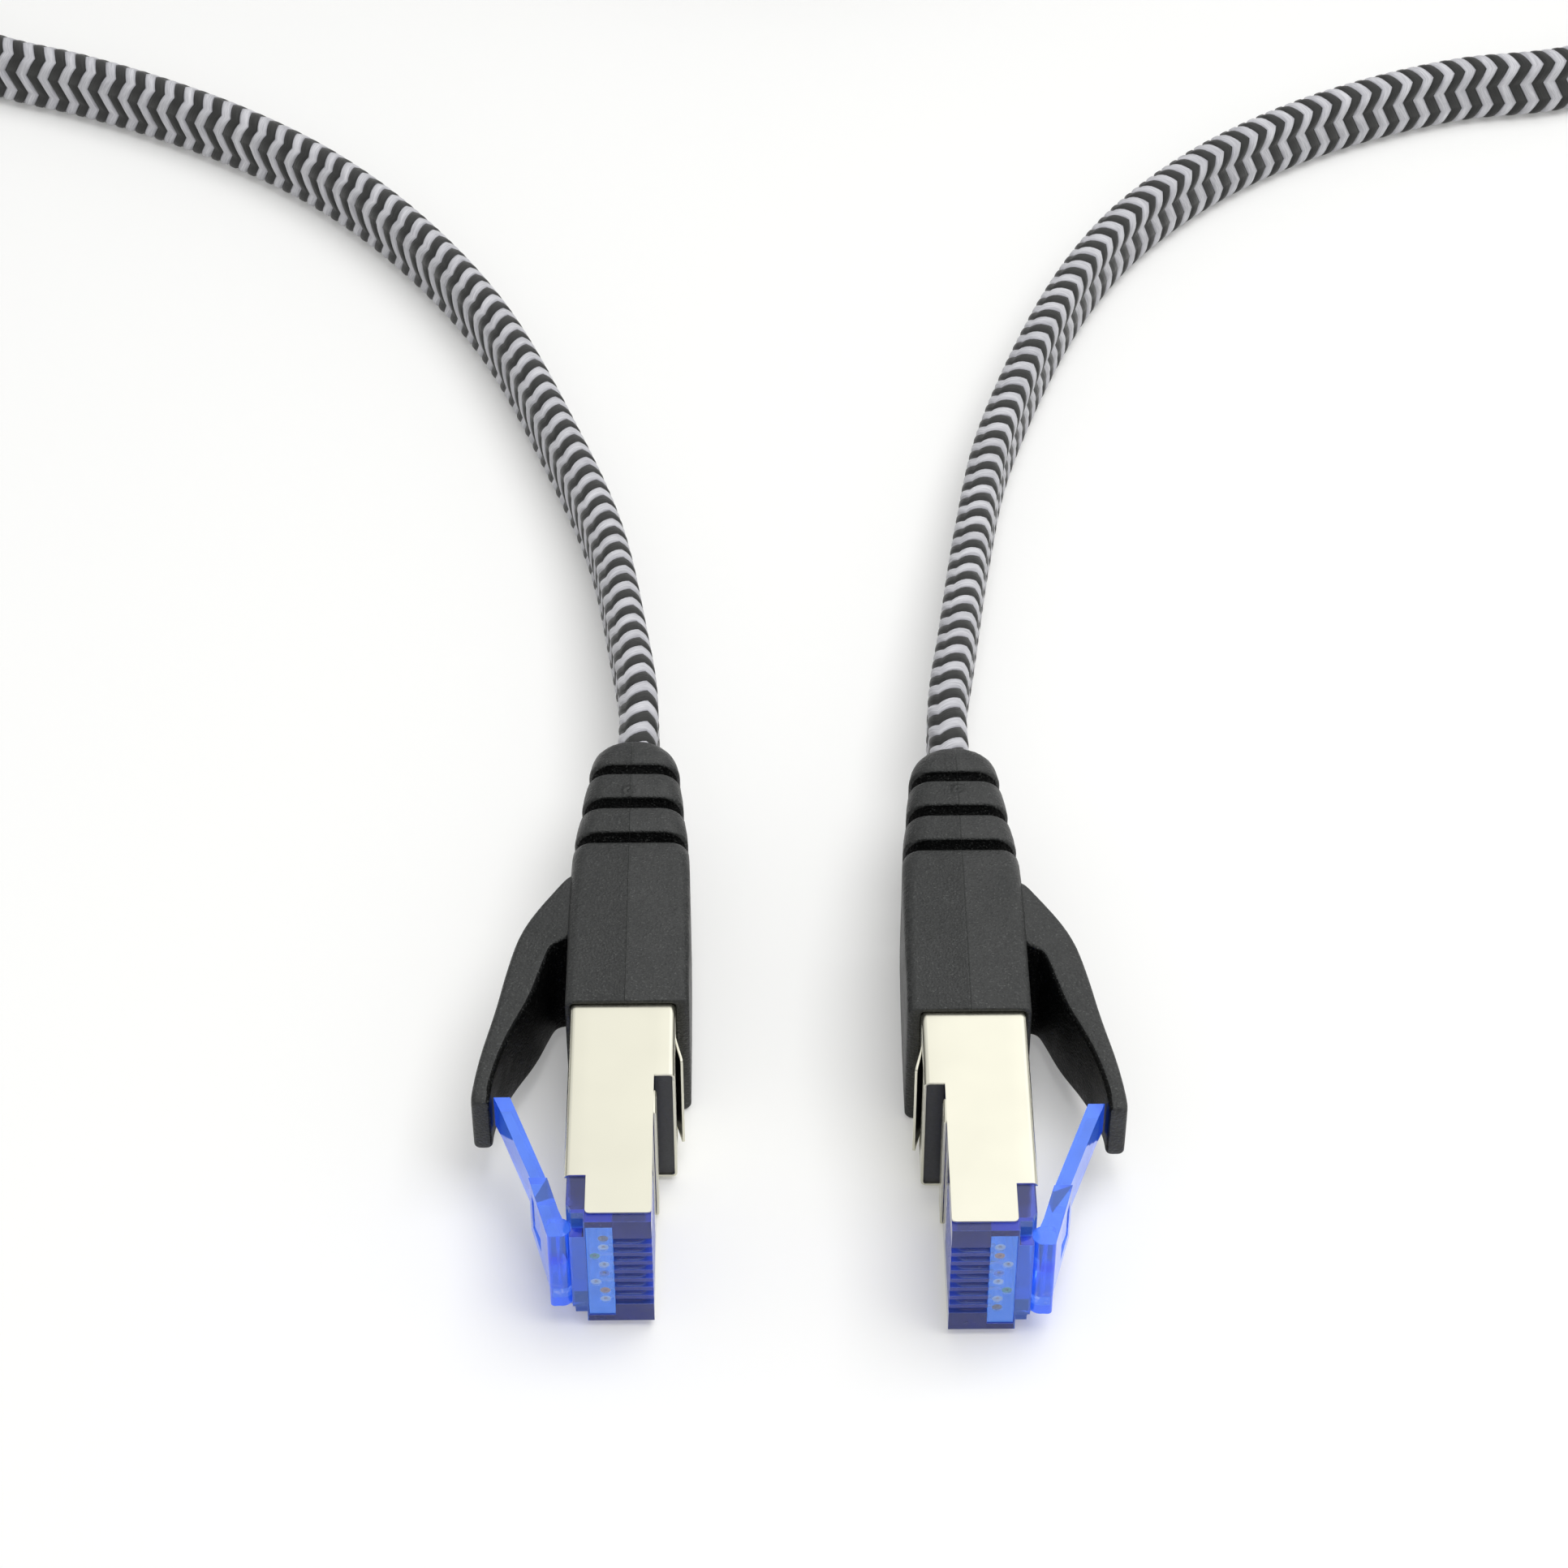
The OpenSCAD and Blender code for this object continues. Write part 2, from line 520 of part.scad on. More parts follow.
// the section stands on edge: side is level, up is square to side and to the way
function side_of(t) = unit([t[1], -t[0], 0]);
function ring_at(p, i, shape) = let (t = way(p, i), s = side_of(t), u = cross(s, t))
    [for (q = shape) p[i] + q[0] * s + q[1] * u];
OCTAGON = [
    [cord_t / 2, -cord_w * 0.28], [cord_t / 2, cord_w * 0.28], [cord_t / 4, cord_w / 2],
    [-cord_t / 4, cord_w / 2], [-cord_t / 2, cord_w * 0.28], [-cord_t / 2, -cord_w * 0.28],
    [-cord_t / 4, -cord_w / 2], [cord_t / 4, -cord_w / 2]
];
HEXAGON = [
    [cord_t / 2, -cord_w * 0.27], [cord_t / 2, cord_w * 0.27], [0, cord_w / 2],
    [-cord_t / 2, cord_w * 0.27], [-cord_t / 2, -cord_w * 0.27], [0, -cord_w / 2]
];
module sweep(p, shape) {
    n = len(shape);
    rings = len(p);
    polyhedron(
        points = [for (i = [0:rings - 1]) each ring_at(p, i, shape)],
        faces = concat(
            [for (k = [1:n - 2]) [0, k + 1, k]],
            [for (i = [0:rings - 2]) for (k = [0:n - 1]) for (f = [0:1]) f == 0
                ? [i * n + k, i * n + (k + 1) % n, (i + 1) * n + k]
                : [i * n + (k + 1) % n, (i + 1) * n + (k + 1) % n, (i + 1) * n + k]],
            [for (k = [1:n - 2]) [(rings - 1) * n, (rings - 1) * n + k, (rings - 1) * n + k + 1]]
        )
    );
}
// the least gap between turns, measured on points of the two sections where they pass
function apart(a, b) = let (
        p = on_coil(a), q = on_coil(b), across = norm([p[0] - q[0], p[1] - q[1]]), up = abs(p[2] - q[2]),
        round_up = max(0, up - cord_w + cord_t)
    ) max(norm([across, round_up]) - cord_t, up - cord_w);
coil_least_gap = min([for (a = [0:5:wrap_deg - 360]) for (b = [a + 300:5:wrap_deg]) apart(a, b)]);
function length_of(p) = let (d = [for (i = [1:len(p) - 1]) norm(p[i] - p[i - 1])]) d * [for (x = d) 1];
echo(coil_least_gap = coil_least_gap, coil_length = length_of(coil_path));
echo(cord_length = length_of(left_path) + length_of(coil_path) + length_of(right_path));

// nodes -------------------------------------------------------------------------------------------
brown = [0.42, 0.26, 0.16];
green = [0.1, 0.45, 0.25];
blue = [0.12, 0.3, 0.7];
orange = [0.85, 0.42, 0.12];
module left_housing() on_left() housing();
module left_latch_lever() on_left() latch_lever();
module left_shield() on_left() shield();
module left_contacts() on_left() contacts();
module left_load_bar() on_left() load_bar();
module left_orange_pair() on_left() pair([0, 1], orange);
module left_green_pair() on_left() pair([2, 5], green);
module left_blue_pair() on_left() pair([3, 4], blue);
module left_brown_pair() on_left() pair([6, 7], brown);
module left_copper_cores() on_left() copper_cores();
module left_pair_foils() on_left() pair_foils();
module left_drain_wire() on_left() drain_wire();
module left_crimp_ferrule() on_left() crimp_ferrule();
module left_inner_mould() on_left() inner_mould();
module left_boot() on_left() boot();
module left_latch_guard() on_left() latch_guard();
module left_cable_end() on_left() cable_end();
module right_housing() on_right() housing();
module right_latch_lever() on_right() latch_lever();
module right_shield() on_right() shield();
module right_contacts() on_right() contacts();
module right_load_bar() on_right() load_bar();
module right_orange_pair() on_right() pair([6, 7], orange);
module right_green_pair() on_right() pair([2, 5], green);
module right_blue_pair() on_right() pair([3, 4], blue);
module right_brown_pair() on_right() pair([0, 1], brown);
module right_copper_cores() on_right() copper_cores();
module right_pair_foils() on_right() pair_foils();
module right_drain_wire() on_right() drain_wire();
module right_crimp_ferrule() on_right() crimp_ferrule();
module right_inner_mould() on_right() inner_mould();
module right_boot() on_right() boot();
module right_latch_guard() on_right() latch_guard();
module right_cable_end() on_right() cable_end();
module left_cord() color([0.45, 0.45, 0.5]) sweep(left_path, OCTAGON);
module cord_coil() color([0.45, 0.45, 0.5]) sweep(coil_path, HEXAGON);
module right_cord() color([0.45, 0.45, 0.5]) sweep(right_path, OCTAGON);

left_housing();
left_latch_lever();
left_shield();
left_contacts();
left_load_bar();
left_brown_pair();
left_green_pair();
left_blue_pair();
left_orange_pair();
left_copper_cores();
left_pair_foils();
left_drain_wire();
left_crimp_ferrule();
left_inner_mould();
left_boot();
left_latch_guard();
left_cable_end();
right_housing();
right_latch_lever();
right_shield();
right_contacts();
right_load_bar();
right_brown_pair();
right_green_pair();
right_blue_pair();
right_orange_pair();
right_copper_cores();
right_pair_foils();
right_drain_wire();
right_crimp_ferrule();
right_inner_mould();
right_boot();
right_latch_guard();
right_cable_end();
left_cord();
cord_coil();
right_cord();
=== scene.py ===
# %% [markdown]
# # A shielded ethernet patch cable
# Two moulded plugs lie on their sides with their contacts facing each other, and one flat braided cord
# stands on edge and joins them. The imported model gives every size, place and joint. This script adds the
# looks: finer shapes over the plain solids, a finish for every surface, light and a camera.

# %% Load the frame
import math

import bmesh
import bpy
import numpy as np
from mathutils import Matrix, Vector


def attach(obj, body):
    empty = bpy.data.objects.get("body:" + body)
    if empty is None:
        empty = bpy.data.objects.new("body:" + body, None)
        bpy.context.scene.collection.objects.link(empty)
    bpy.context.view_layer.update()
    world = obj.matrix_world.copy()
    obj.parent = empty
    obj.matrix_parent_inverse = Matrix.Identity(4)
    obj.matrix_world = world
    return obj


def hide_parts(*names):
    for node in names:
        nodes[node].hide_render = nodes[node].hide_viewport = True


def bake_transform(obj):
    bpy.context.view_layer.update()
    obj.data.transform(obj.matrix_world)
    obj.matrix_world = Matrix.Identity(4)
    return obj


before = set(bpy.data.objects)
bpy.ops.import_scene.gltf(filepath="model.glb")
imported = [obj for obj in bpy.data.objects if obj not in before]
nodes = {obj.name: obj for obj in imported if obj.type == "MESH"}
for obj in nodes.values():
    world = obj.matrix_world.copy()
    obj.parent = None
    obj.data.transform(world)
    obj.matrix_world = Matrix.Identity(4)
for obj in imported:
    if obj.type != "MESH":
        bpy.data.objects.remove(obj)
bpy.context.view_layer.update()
MM = 0.001

# %% [markdown]
# ## Camera
# A long lens looks down at 44 degrees from in front of the noses. A long lens keeps the two plugs nearly
# parallel, where a short one would spread them. The colours go out as they are, with no film curve.

# %% Camera
scene = bpy.context.scene
scene.view_settings.view_transform = "Standard"
lens = bpy.data.cameras.new("long_lens")
lens.lens = 93.168
lens.sensor_width = 36.0
lens.clip_start = 0.01
lens.clip_end = 20.0
camera = bpy.data.objects.new("camera", lens)
camera.location = (-3.087 * MM, -221.44 * MM, 245.91 * MM)
camera.rotation_euler = (math.radians(46.0), 0.0, math.radians(-0.524))
scene.collection.objects.link(camera)
scene.camera = camera
print("camera", round(camera.location.length / MM), "mm from the origin")

# %% [markdown]
# ## The way that the cord lies
# The cord leaves each boot straight, sinks onto the floor and bends outwards in a wide curve. A few listed
# points are enough to say where it runs. All lengths here are in millimetres, and `up` is counted to
# the middle of the cord's height, since it stands on edge.

# %% Points of the route
CORD_W, CORD_T = 7.4, 3.4
MID = 6.5
HALF_LEN, STAGGER, FACE_X, CABLE_X = 27.0, 0.55, 11.2, 2.05
LEFT_ROUTE = [
    (-14.4, 45, 5.6), (-16.8, 60, 4.3), (-21, 74, 3.7), (-28.7, 93.5, 3.7), (-37.8, 108.1, 3.7),
    (-46.6, 118.1, 3.7), (-55.5, 125.3, 3.7), (-64.4, 130.8, 3.7), (-73.3, 135.2, 3.7),
    (-82.2, 138.8, 3.7), (-92.9, 146, 3.7), (-99.7, 156.9, 3.7), (-101.5, 169.7, 3.7),
    (-98, 182.1, 3.7), (-89.5, 192.1, 3.7), (-75, 203, 3.7), (-61, 213.7, 3.7),
]
RIGHT_ROUTE = [
    (14.6, 44.5, 5.6), (16.7, 60, 4.3), (19.3, 74, 3.7), (26.2, 94, 3.7), (31.7, 104.8, 3.7),
    (37.1, 112.1, 3.7), (44.2, 119.2, 3.7), (53.1, 125.6, 3.7), (62, 130.1, 3.7), (70.9, 133.2, 3.7),
    (81.3, 135, 3.7), (94, 140.2, 3.7), (102.9, 150.5, 3.7), (106.2, 163.7, 3.7), (103.3, 177.1, 3.7),
    (94.6, 187.8, 4.6), (80, 199.1, 7.2), (65, 210.6, 10.4),
]
left_exit = (-FACE_X - CABLE_X, HALF_LEN + STAGGER, MID)
right_exit = (FACE_X + CABLE_X, HALF_LEN - STAGGER, MID)
print("points by hand:", len(LEFT_ROUTE), "on the left and", len(RIGHT_ROUTE), "on the right")

# %% [markdown]
# ## The coil
# The spare length is wound into a coil behind the plugs, out of view. It could be one flat spiral, but a
# person who winds up a cable lays the turns in two layers. So the turns grow smaller and then wider again,
# and halfway through they climb from the lower layer onto the upper one.

# %% Turns of the coil
COIL_MID, COIL_R, COIL_START, COIL_WRAP = (0.0, 206.0), 43.2, 127.5, 1155.0
TURN_STEP, LAYER_RISE = 4.1, 8.1
CLIMB, COIL_STEP = 180, 15.0


def ease(t):
    t = min(max(t, 0.0), 1.0)
    return t * t * (3 - 2 * t)


def on_coil(a):
    """The place after `a` degrees of winding."""
    r = COIL_R - TURN_STEP * min(a, COIL_WRAP - a) / 360
    angle = math.radians(COIL_START - a)
    z = CORD_W / 2 + LAYER_RISE * ease((a - COIL_WRAP / 2 + CLIMB / 2) / CLIMB)
    return (COIL_MID[0] + r * math.cos(angle), COIL_MID[1] + r * math.sin(angle), z)


def lead(point, k):
    """A place k cord widths before the coil, on the straight line that touches it at `point`."""
    way = math.radians(COIL_START - 90)
    side = -1 if point[0] < 0 else 1
    return (point[0] + side * math.cos(way) * CORD_W * k, point[1] - math.sin(way) * CORD_W * k, point[2])


first, last = on_coil(0), on_coil(COIL_WRAP)
coil_points = [on_coil(a) for a in np.arange(0.0, COIL_WRAP + 1, COIL_STEP)]
route = (
    [left_exit, (left_exit[0], left_exit[1] + CORD_W, MID)] + LEFT_ROUTE
    + [lead(first, 3), lead(first, 1)] + coil_points + [lead(last, 1), lead(last, 3)] + RIGHT_ROUTE[::-1]
    + [(right_exit[0], right_exit[1] + CORD_W, MID), right_exit]
)
print("coil:", round(COIL_WRAP / 360, 2), "turns; route:", len(route), "points")


# %% [markdown]
# ## A smooth line through the points
# A centripetal Catmull-Rom curve passes through every point without loops, whatever the spacing. It is
# sampled finely and then read by length, so the braid's stitches come out evenly long.

# %% Smooth the route and measure it
def smooth_line(points, per_piece=24):
    p = np.array(points, float)
    p = np.vstack([2 * p[0] - p[1], p, 2 * p[-1] - p[-2]])
    out = []
    for i in range(1, len(p) - 2):
        a, b, c, d = p[i - 1:i + 3]
        t0 = 0.0
        t1 = t0 + np.linalg.norm(b - a) ** 0.5
        t2 = t1 + np.linalg.norm(c - b) ** 0.5
        t3 = t2 + np.linalg.norm(d - c) ** 0.5
        t = np.linspace(t1, t2, per_piece, endpoint=False)[:, None]
        e = (t1 - t) / (t1 - t0) * a + (t - t0) / (t1 - t0) * b
        f = (t2 - t) / (t2 - t1) * b + (t - t1) / (t2 - t1) * c
        g = (t3 - t) / (t3 - t2) * c + (t - t2) / (t3 - t2) * d
        h = (t2 - t) / (t2 - t0) * e + (t - t0) / (t2 - t0) * f
        k = (t3 - t) / (t3 - t1) * f + (t - t1) / (t3 - t1) * g
        out.append((t2 - t) / (t2 - t1) * h + (t - t1) / (t2 - t1) * k)
    return np.vstack(out + [p[-2][None]])


line = smooth_line(route)
line_s = np.concatenate([[0.0], np.cumsum(np.linalg.norm(np.diff(line, axis=0), axis=1))])
CORD_LEN = float(line_s[-1])
print("cord between the boots", round(CORD_LEN), "mm, highest", round(float(line[:, 2].max()), 2))


# %% [markdown]
# ## Reading the line by length
# A stitch needs its place and the way that the cord runs there. The way is taken between two places a little
# before and behind, which evens out the small corners of the sampled line.

# %% Places and directions
LOOK_AROUND = 0.8


def on_line(s):
    return np.stack([np.interp(s, line_s, line[:, k]) for k in range(3)], -1)


def along_line(s):
    """Places and directions at the lengths s, running straight on past both ends."""
    inside = np.clip(s, 0, CORD_LEN)
    place = on_line(inside)
    way = (on_line(np.clip(inside + LOOK_AROUND, 0, CORD_LEN))
           - on_line(np.clip(inside - LOOK_AROUND, 0, CORD_LEN)))
    way /= np.linalg.norm(way, axis=-1, keepdims=True)
    return place + way * (s - inside)[..., None], way


print("the cord leaves the left boot along", [round(float(x), 2) for x in along_line(np.array([0.0]))[1][0]])

# %% [markdown]
# ## The braid
# The sleeve is a round braid pulled flat: eight columns of yarn bundles stand round the cord, slanting one
# way in one column and the other way in the next, so that a black row and a pale row each make a zigzag
# ring. A pattern painted on a smooth tube would look printed. Here the rows of the mesh follow the slanted
# yarns, and every bundle is a rounded ridge that dips where it passes under the next column. First comes the
# outline of the flat cord, a bar with round edges, with its points evenly spaced so that all columns are
# equally wide.

# %% Cross-section of the cord
COLUMNS = 8
PER_COLUMN = 6
ROW_PITCH = 2.44
SLANT = 1.13
RELIEF = 0.13


def stadium(count, width, thick):
    """Points and outward directions, evenly spaced round a flat bar with round edges."""
    r, flat = thick / 2, width - thick
    total = 2 * flat + 2 * math.pi * r
    places, outward = [], []
    for i in range(count):
        d = (i + 0.5 * PER_COLUMN) / count % 1.0 * total
        if d < flat:
            q, n = (r, d - flat / 2), (1, 0)
        elif d < flat + math.pi * r:
            a = (d - flat) / r
            n = (math.cos(a), math.sin(a))
            q = (r * n[0], flat / 2 + r * n[1])
        elif d < 2 * flat + math.pi * r:
            q, n = (-r, flat / 2 - (d - flat - math.pi * r)), (-1, 0)
        else:
            a = math.pi + (d - 2 * flat - math.pi * r) / r
            n = (math.cos(a), math.sin(a))
            q = (r * n[0], -flat / 2 + r * n[1])
        places.append(q)
        outward.append(n)
    return np.array(places), np.array(outward), total


around = COLUMNS * PER_COLUMN
ring_places, ring_out, girth = stadium(around, CORD_W - 2 * RELIEF, CORD_T - 2 * RELIEF)
print("girth", round(girth, 2), "mm, column", round(girth / COLUMNS, 2), "mm")

# %% [markdown]
# ## Sweep the braid along the line
# Each row of points lies on a slanted yarn, so its points are read from the line at lengths that go to and
# fro from column to column. Five rows make one bundle: its middle stands out and its edges lie low. Under the
# boots the braid runs on a little, as the real sleeve does, so that no end can be seen.

# %% Points of the braid
ACROSS_BUNDLE = 5
TUCKED = 2.0
EDGE_DOME, EDGE_SHARPNESS, RIDGE_SHARPNESS = 0.35, 0.8, 4
row_step = ROW_PITCH / 2 / ACROSS_BUNDLE
rows = int((CORD_LEN + 2 * TUCKED) / row_step) + 1
column_at = np.arange(around) / PER_COLUMN
zigzag = np.abs((column_at % 2.0) - 1.0)
row_at = -TUCKED + np.arange(rows) * row_step
place, way = along_line(row_at[:, None] + SLANT * (zigzag[None] - 0.5))
side_way = np.stack([way[..., 1], -way[..., 0], np.zeros_like(way[..., 0])], -1)
side_way /= np.linalg.norm(side_way, axis=-1, keepdims=True)
up_way = np.cross(side_way, way)
across_bundle = (np.arange(rows) % ACROSS_BUNDLE) / ACROSS_BUNDLE
ridge = 1 - (2 * across_bundle - 1) ** RIDGE_SHARPNESS
dome = EDGE_DOME + (1 - EDGE_DOME) * np.sin(math.pi * (column_at % 1.0)) ** EDGE_SHARPNESS
height = RELIEF * (2 * ridge[:, None] * dome[None] - 1)
q = ring_places[None] + ring_out[None] * height[..., None]
verts = place + side_way * q[..., 0:1] + up_way * q[..., 1:2]
verts[..., 2] = np.maximum(verts[..., 2], 0.0)
print("braid:", rows // ACROSS_BUNDLE, "bundles along it,", COLUMNS, "columns round it")

# %% [markdown]
# ## The braid's mesh
# The rows are joined by four-sided faces, and each end gets a lid, so the cord is one closed skin. The order
# of a face's corners decides which side is its front, so every face runs the same way round.

# %% Mesh of the braid
def grid_faces(rows, around):
    i = np.arange(rows - 1)[:, None] * around
    j = np.arange(around)[None]
    k = (j + 1) % around
    return np.stack([i + j, i + around + j, i + around + k, i + k], -1).reshape(-1, 4)


def mesh_object(name, verts_mm, faces):
    data = bpy.data.meshes.new(name)
    data.from_pydata([tuple(v) for v in np.asarray(verts_mm, float).reshape(-1, 3) * MM], [], list(faces))
    data.validate()
    obj = bpy.data.objects.new(name, data)
    scene.collection.objects.link(obj)
    return obj


def smooth(obj):
    for polygon in obj.data.polygons:
        polygon.use_smooth = True


def lids(rows, around):
    """The faces that close both ends of a tube of rings."""
    return [tuple(range(around)), tuple((rows - 1) * around + j for j in range(around - 1, -1, -1))]


faces = [tuple(int(v) for v in f) for f in grid_faces(rows, around)] + lids(rows, around)
cord = mesh_object("braided_cord", verts, faces)
smooth(cord)
print("braid:", len(cord.data.vertices), "points,", len(cord.data.polygons), "faces")

# %% [markdown]
# ## A map for the yarns
# The colour and the fine filaments have to follow the same slanted yarns as the ridges. So the mesh keeps a
# UV map that counts columns one way and pairs of rows the other. Where the last column meets the first, the
# count would jump back to zero inside one face, and those corners are set to the full count.

# %% UV map of the braid
loops = np.zeros(len(cord.data.loops), int)
cord.data.loops.foreach_get("vertex_index", loops)
row_of = loops // around
col_of = (loops % around).astype(float)
wrapped = np.zeros(len(loops), bool)
quads = (rows - 1) * around
corner = loops[:quads * 4].reshape(-1, 4) % around
wrapped[:quads * 4] = np.repeat(corner.max(1) == around - 1, 4) & np.repeat(corner.min(1) == 0, 4)
col_of[wrapped & (col_of == 0)] = around
coords = np.stack([col_of / PER_COLUMN, row_of / (2.0 * ACROSS_BUNDLE)], -1)
cord.data.uv_layers.new(name="braid").data.foreach_set("uv", coords.astype(np.float32).ravel())
print("map: 0 to", coords[:, 0].max(), "columns, 0 to", coords[:, 1].max(), "pairs of rows")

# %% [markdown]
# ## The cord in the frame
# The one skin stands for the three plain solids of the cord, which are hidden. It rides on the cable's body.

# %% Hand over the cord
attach(cord, "cable")
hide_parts("left_cord", "cord_coil", "right_cord")
print("cord:", round(CORD_LEN), "mm long,", CORD_W, "mm wide")

# %% [markdown]
# ## Floor and light
# A pale floor shows the shadows, and a large soft lamp overhead with an even sky gives each edge a quiet
# highlight. What the camera, the metal and the clear plastic see round the object is white, which is how a
# product lies in a light tent. The lamps themselves stay at a level where a colour comes out as written.
# A few helpers first, since every material below is a small tree of nodes.

# %% Small helpers for materials
def add_node(tree, kind, **values):
    made = tree.nodes.new(kind)
    for key, value in values.items():
        setattr(made, key, value)
    return made


def put(made, **sockets):
    """Sets sockets by name, with _ for each space."""
    for key, value in sockets.items():
        made.inputs[key.replace("_", " ")].default_value = value
    return made


def feed(tree, value, socket):
    """Gives a socket a plain number, a colour or what comes out of another node."""
    if isinstance(value, (int, float)):
        socket.default_value = value
    elif isinstance(value, tuple):
        socket.default_value = (*value, 1)
    else:
        tree.links.new(value, socket)


def math_node(tree, operation, *values, clamp=False):
    made = add_node(tree, "ShaderNodeMath", operation=operation, use_clamp=clamp)
    for value, socket in zip(values, made.inputs):
        feed(tree, value, socket)
    return made.outputs[0]


def map_range(tree, value, start, end, low=0.0, high=1.0, curve="LINEAR"):
    """Takes start to low and end to high, and holds both beyond."""
    made = add_node(tree, "ShaderNodeMapRange", interpolation_type=curve)
    put(made, From_Min=start, From_Max=end, To_Min=low, To_Max=high)
    tree.links.new(value, made.inputs["Value"])
    return made.outputs[0]


def split_xyz(tree, vector):
    made = add_node(tree, "ShaderNodeSeparateXYZ")
    tree.links.new(vector, made.inputs[0])
    return made.outputs


def new_material(name, **principled):
    material = bpy.data.materials.new(name)
    material.use_nodes = True
    shader = material.node_tree.nodes["Principled BSDF"]
    put(shader, **principled)
    return material, material.node_tree, shader


# %% [markdown]
# ## Two kinds of rays
# A bright room would be reflected well but would light the object far too much. So the surroundings have two
# levels: white for what is looked at, mirrored or seen through plastic, and a lower one for the rays that
# carry light. The Light Path node tells them apart.

# %% What the camera and the reflections see
def seen_white(tree):
    """1 for camera, glossy and transmission rays, 0 for the rays that carry light to the object."""
    path = add_node(tree, "ShaderNodeLightPath")
    gloss = math_node(tree, "MAXIMUM", path.outputs["Is Glossy Ray"], path.outputs["Is Transmission Ray"])
    on_camera = path.outputs["Is Camera Ray"]
    return math_node(tree, "MAXIMUM", on_camera, gloss), on_camera


# %% [markdown]
# ## Floor
# The floor is a sheet of white card that runs on behind the object. A single plane is enough, since no
# corner is in view. Card darkens with its distance from the lamps, so it gives off a little light of its own
# for the rays that look at it, and for the camera it turns white further out. The part near the object keeps
# its shadows.

# %% Floor
FLOOR_HALF, FLOOR_GLOW = 3, 0.19
BACKDROP_FROM, BACKDROP_FULL = 0.25, 1.0
floor_mesh = bpy.data.meshes.new("pale_floor")
floor_corners = [(x * FLOOR_HALF, y * FLOOR_HALF, 0) for x, y in ((-1, -1), (1, -1), (1, 1), (-1, 1))]
floor_mesh.from_pydata(floor_corners, [], [(0, 1, 2, 3)])
floor = bpy.data.objects.new("pale_floor", floor_mesh)
floor.location.z = -0.02 * MM
scene.collection.objects.link(floor)
material, tree, shader = new_material("pale_floor", Base_Color=(0.82, 0.82, 0.81, 1), Roughness=1.0,
                                      Specular_IOR_Level=0.0, Emission_Color=(1, 1, 0.985, 1))
seen, on_camera = seen_white(tree)
distance = add_node(tree, "ShaderNodeVectorMath", operation="LENGTH")
tree.links.new(add_node(tree, "ShaderNodeTexCoord").outputs["Object"], distance.inputs[0])
far = map_range(tree, distance.outputs["Value"], BACKDROP_FROM, BACKDROP_FULL, curve="SMOOTHSTEP")
backdrop = math_node(tree, "MULTIPLY", far, on_camera)
own_light = math_node(tree, "MULTIPLY_ADD", seen, FLOOR_GLOW, backdrop)
tree.links.new(own_light, shader.inputs["Emission Strength"])
floor_mesh.materials.append(material)
print("floor:", 2 * FLOOR_HALF, "m across")

# %% [markdown]
# ## Sky
# The tent is bright overhead and dim near the floor, so that upright metal fades towards its foot, and one
# side is a little brighter than the other. A plain white sky would leave the two shells alike and flat.

# %% Sky
SKY_LIGHT = 0.44
world = bpy.data.worlds.new("light_tent")
scene.world = world
world.use_nodes = True
tree = world.node_tree
tree.nodes.clear()
seen, on_camera = seen_white(tree)
sky_way = split_xyz(tree, add_node(tree, "ShaderNodeTexCoord").outputs["Generated"])
overhead = map_range(tree, sky_way["Z"], 0.05, 0.6, 0.22, 1.32)
left_to_right = map_range(tree, sky_way["X"], -0.16, 0.16, 0.76, 1.27)
tent = math_node(tree, "MULTIPLY", overhead, left_to_right)
bright = math_node(tree, "MAXIMUM", tent, on_camera)
strength = add_node(tree, "ShaderNodeMix", data_type="FLOAT")
for value, socket in ((seen, 0), (SKY_LIGHT, 2), (bright, 3)):
    feed(tree, value, strength.inputs[socket])
sky = put(add_node(tree, "ShaderNodeBackground"), Color=(1, 1, 1, 1))
tree.links.new(strength.outputs[0], sky.inputs["Strength"])
tree.links.new(sky.outputs[0], add_node(tree, "ShaderNodeOutputWorld").inputs[0])
print("sky:", len(tree.nodes), "nodes, strength", SKY_LIGHT, "for the light that falls on things")


# %% [markdown]
# ## Lamps
# A wide lamp hangs over the plugs, a little to the right, and gives the soft shadows on their left. A weak
# one in front keeps the noses from going dark. Neither shows in reflections, where its outline would draw the
# eye.

# %% Lamps
LIT_PLACE = (0, 30, 0)


def soft_lamp(name, place_mm, size_mm, watts):
    data = bpy.data.lights.new(name, "AREA")
    data.shape = "RECTANGLE"
    data.size, data.size_y = size_mm[0] * MM, size_mm[1] * MM
    data.energy = watts
    lamp = bpy.data.objects.new(name, data)
    lamp.location = Vector(place_mm) * MM
    lamp.rotation_euler = (Vector(LIT_PLACE) * MM - lamp.location).to_track_quat("-Z", "Y").to_euler()
    lamp.visible_glossy = False
    scene.collection.objects.link(lamp)


soft_lamp("overhead", (170, 20, 620), (560, 480), 2.75)
soft_lamp("front_fill", (0, -520, 420), (400, 260), 0.45)

# %% [markdown]
# ## Shared surface effects: sparked grain
# Moulded plastic copies the fine sparked grain of its mould. The effect turns up on several materials, so it
# is a node group: it takes the place on the surface in metres and the grain's size in millimetres, and gives
# a height for the bump and a shade for the colour. Two sizes of noise are added, as one alone looks too even.


# %% Node group: sparked grain
FLOAT, VECTOR = "NodeSocketFloat", "NodeSocketVector"
PER_METRE = 1 / MM
COARSER, FINE_SHARE = 0.31, 0.65


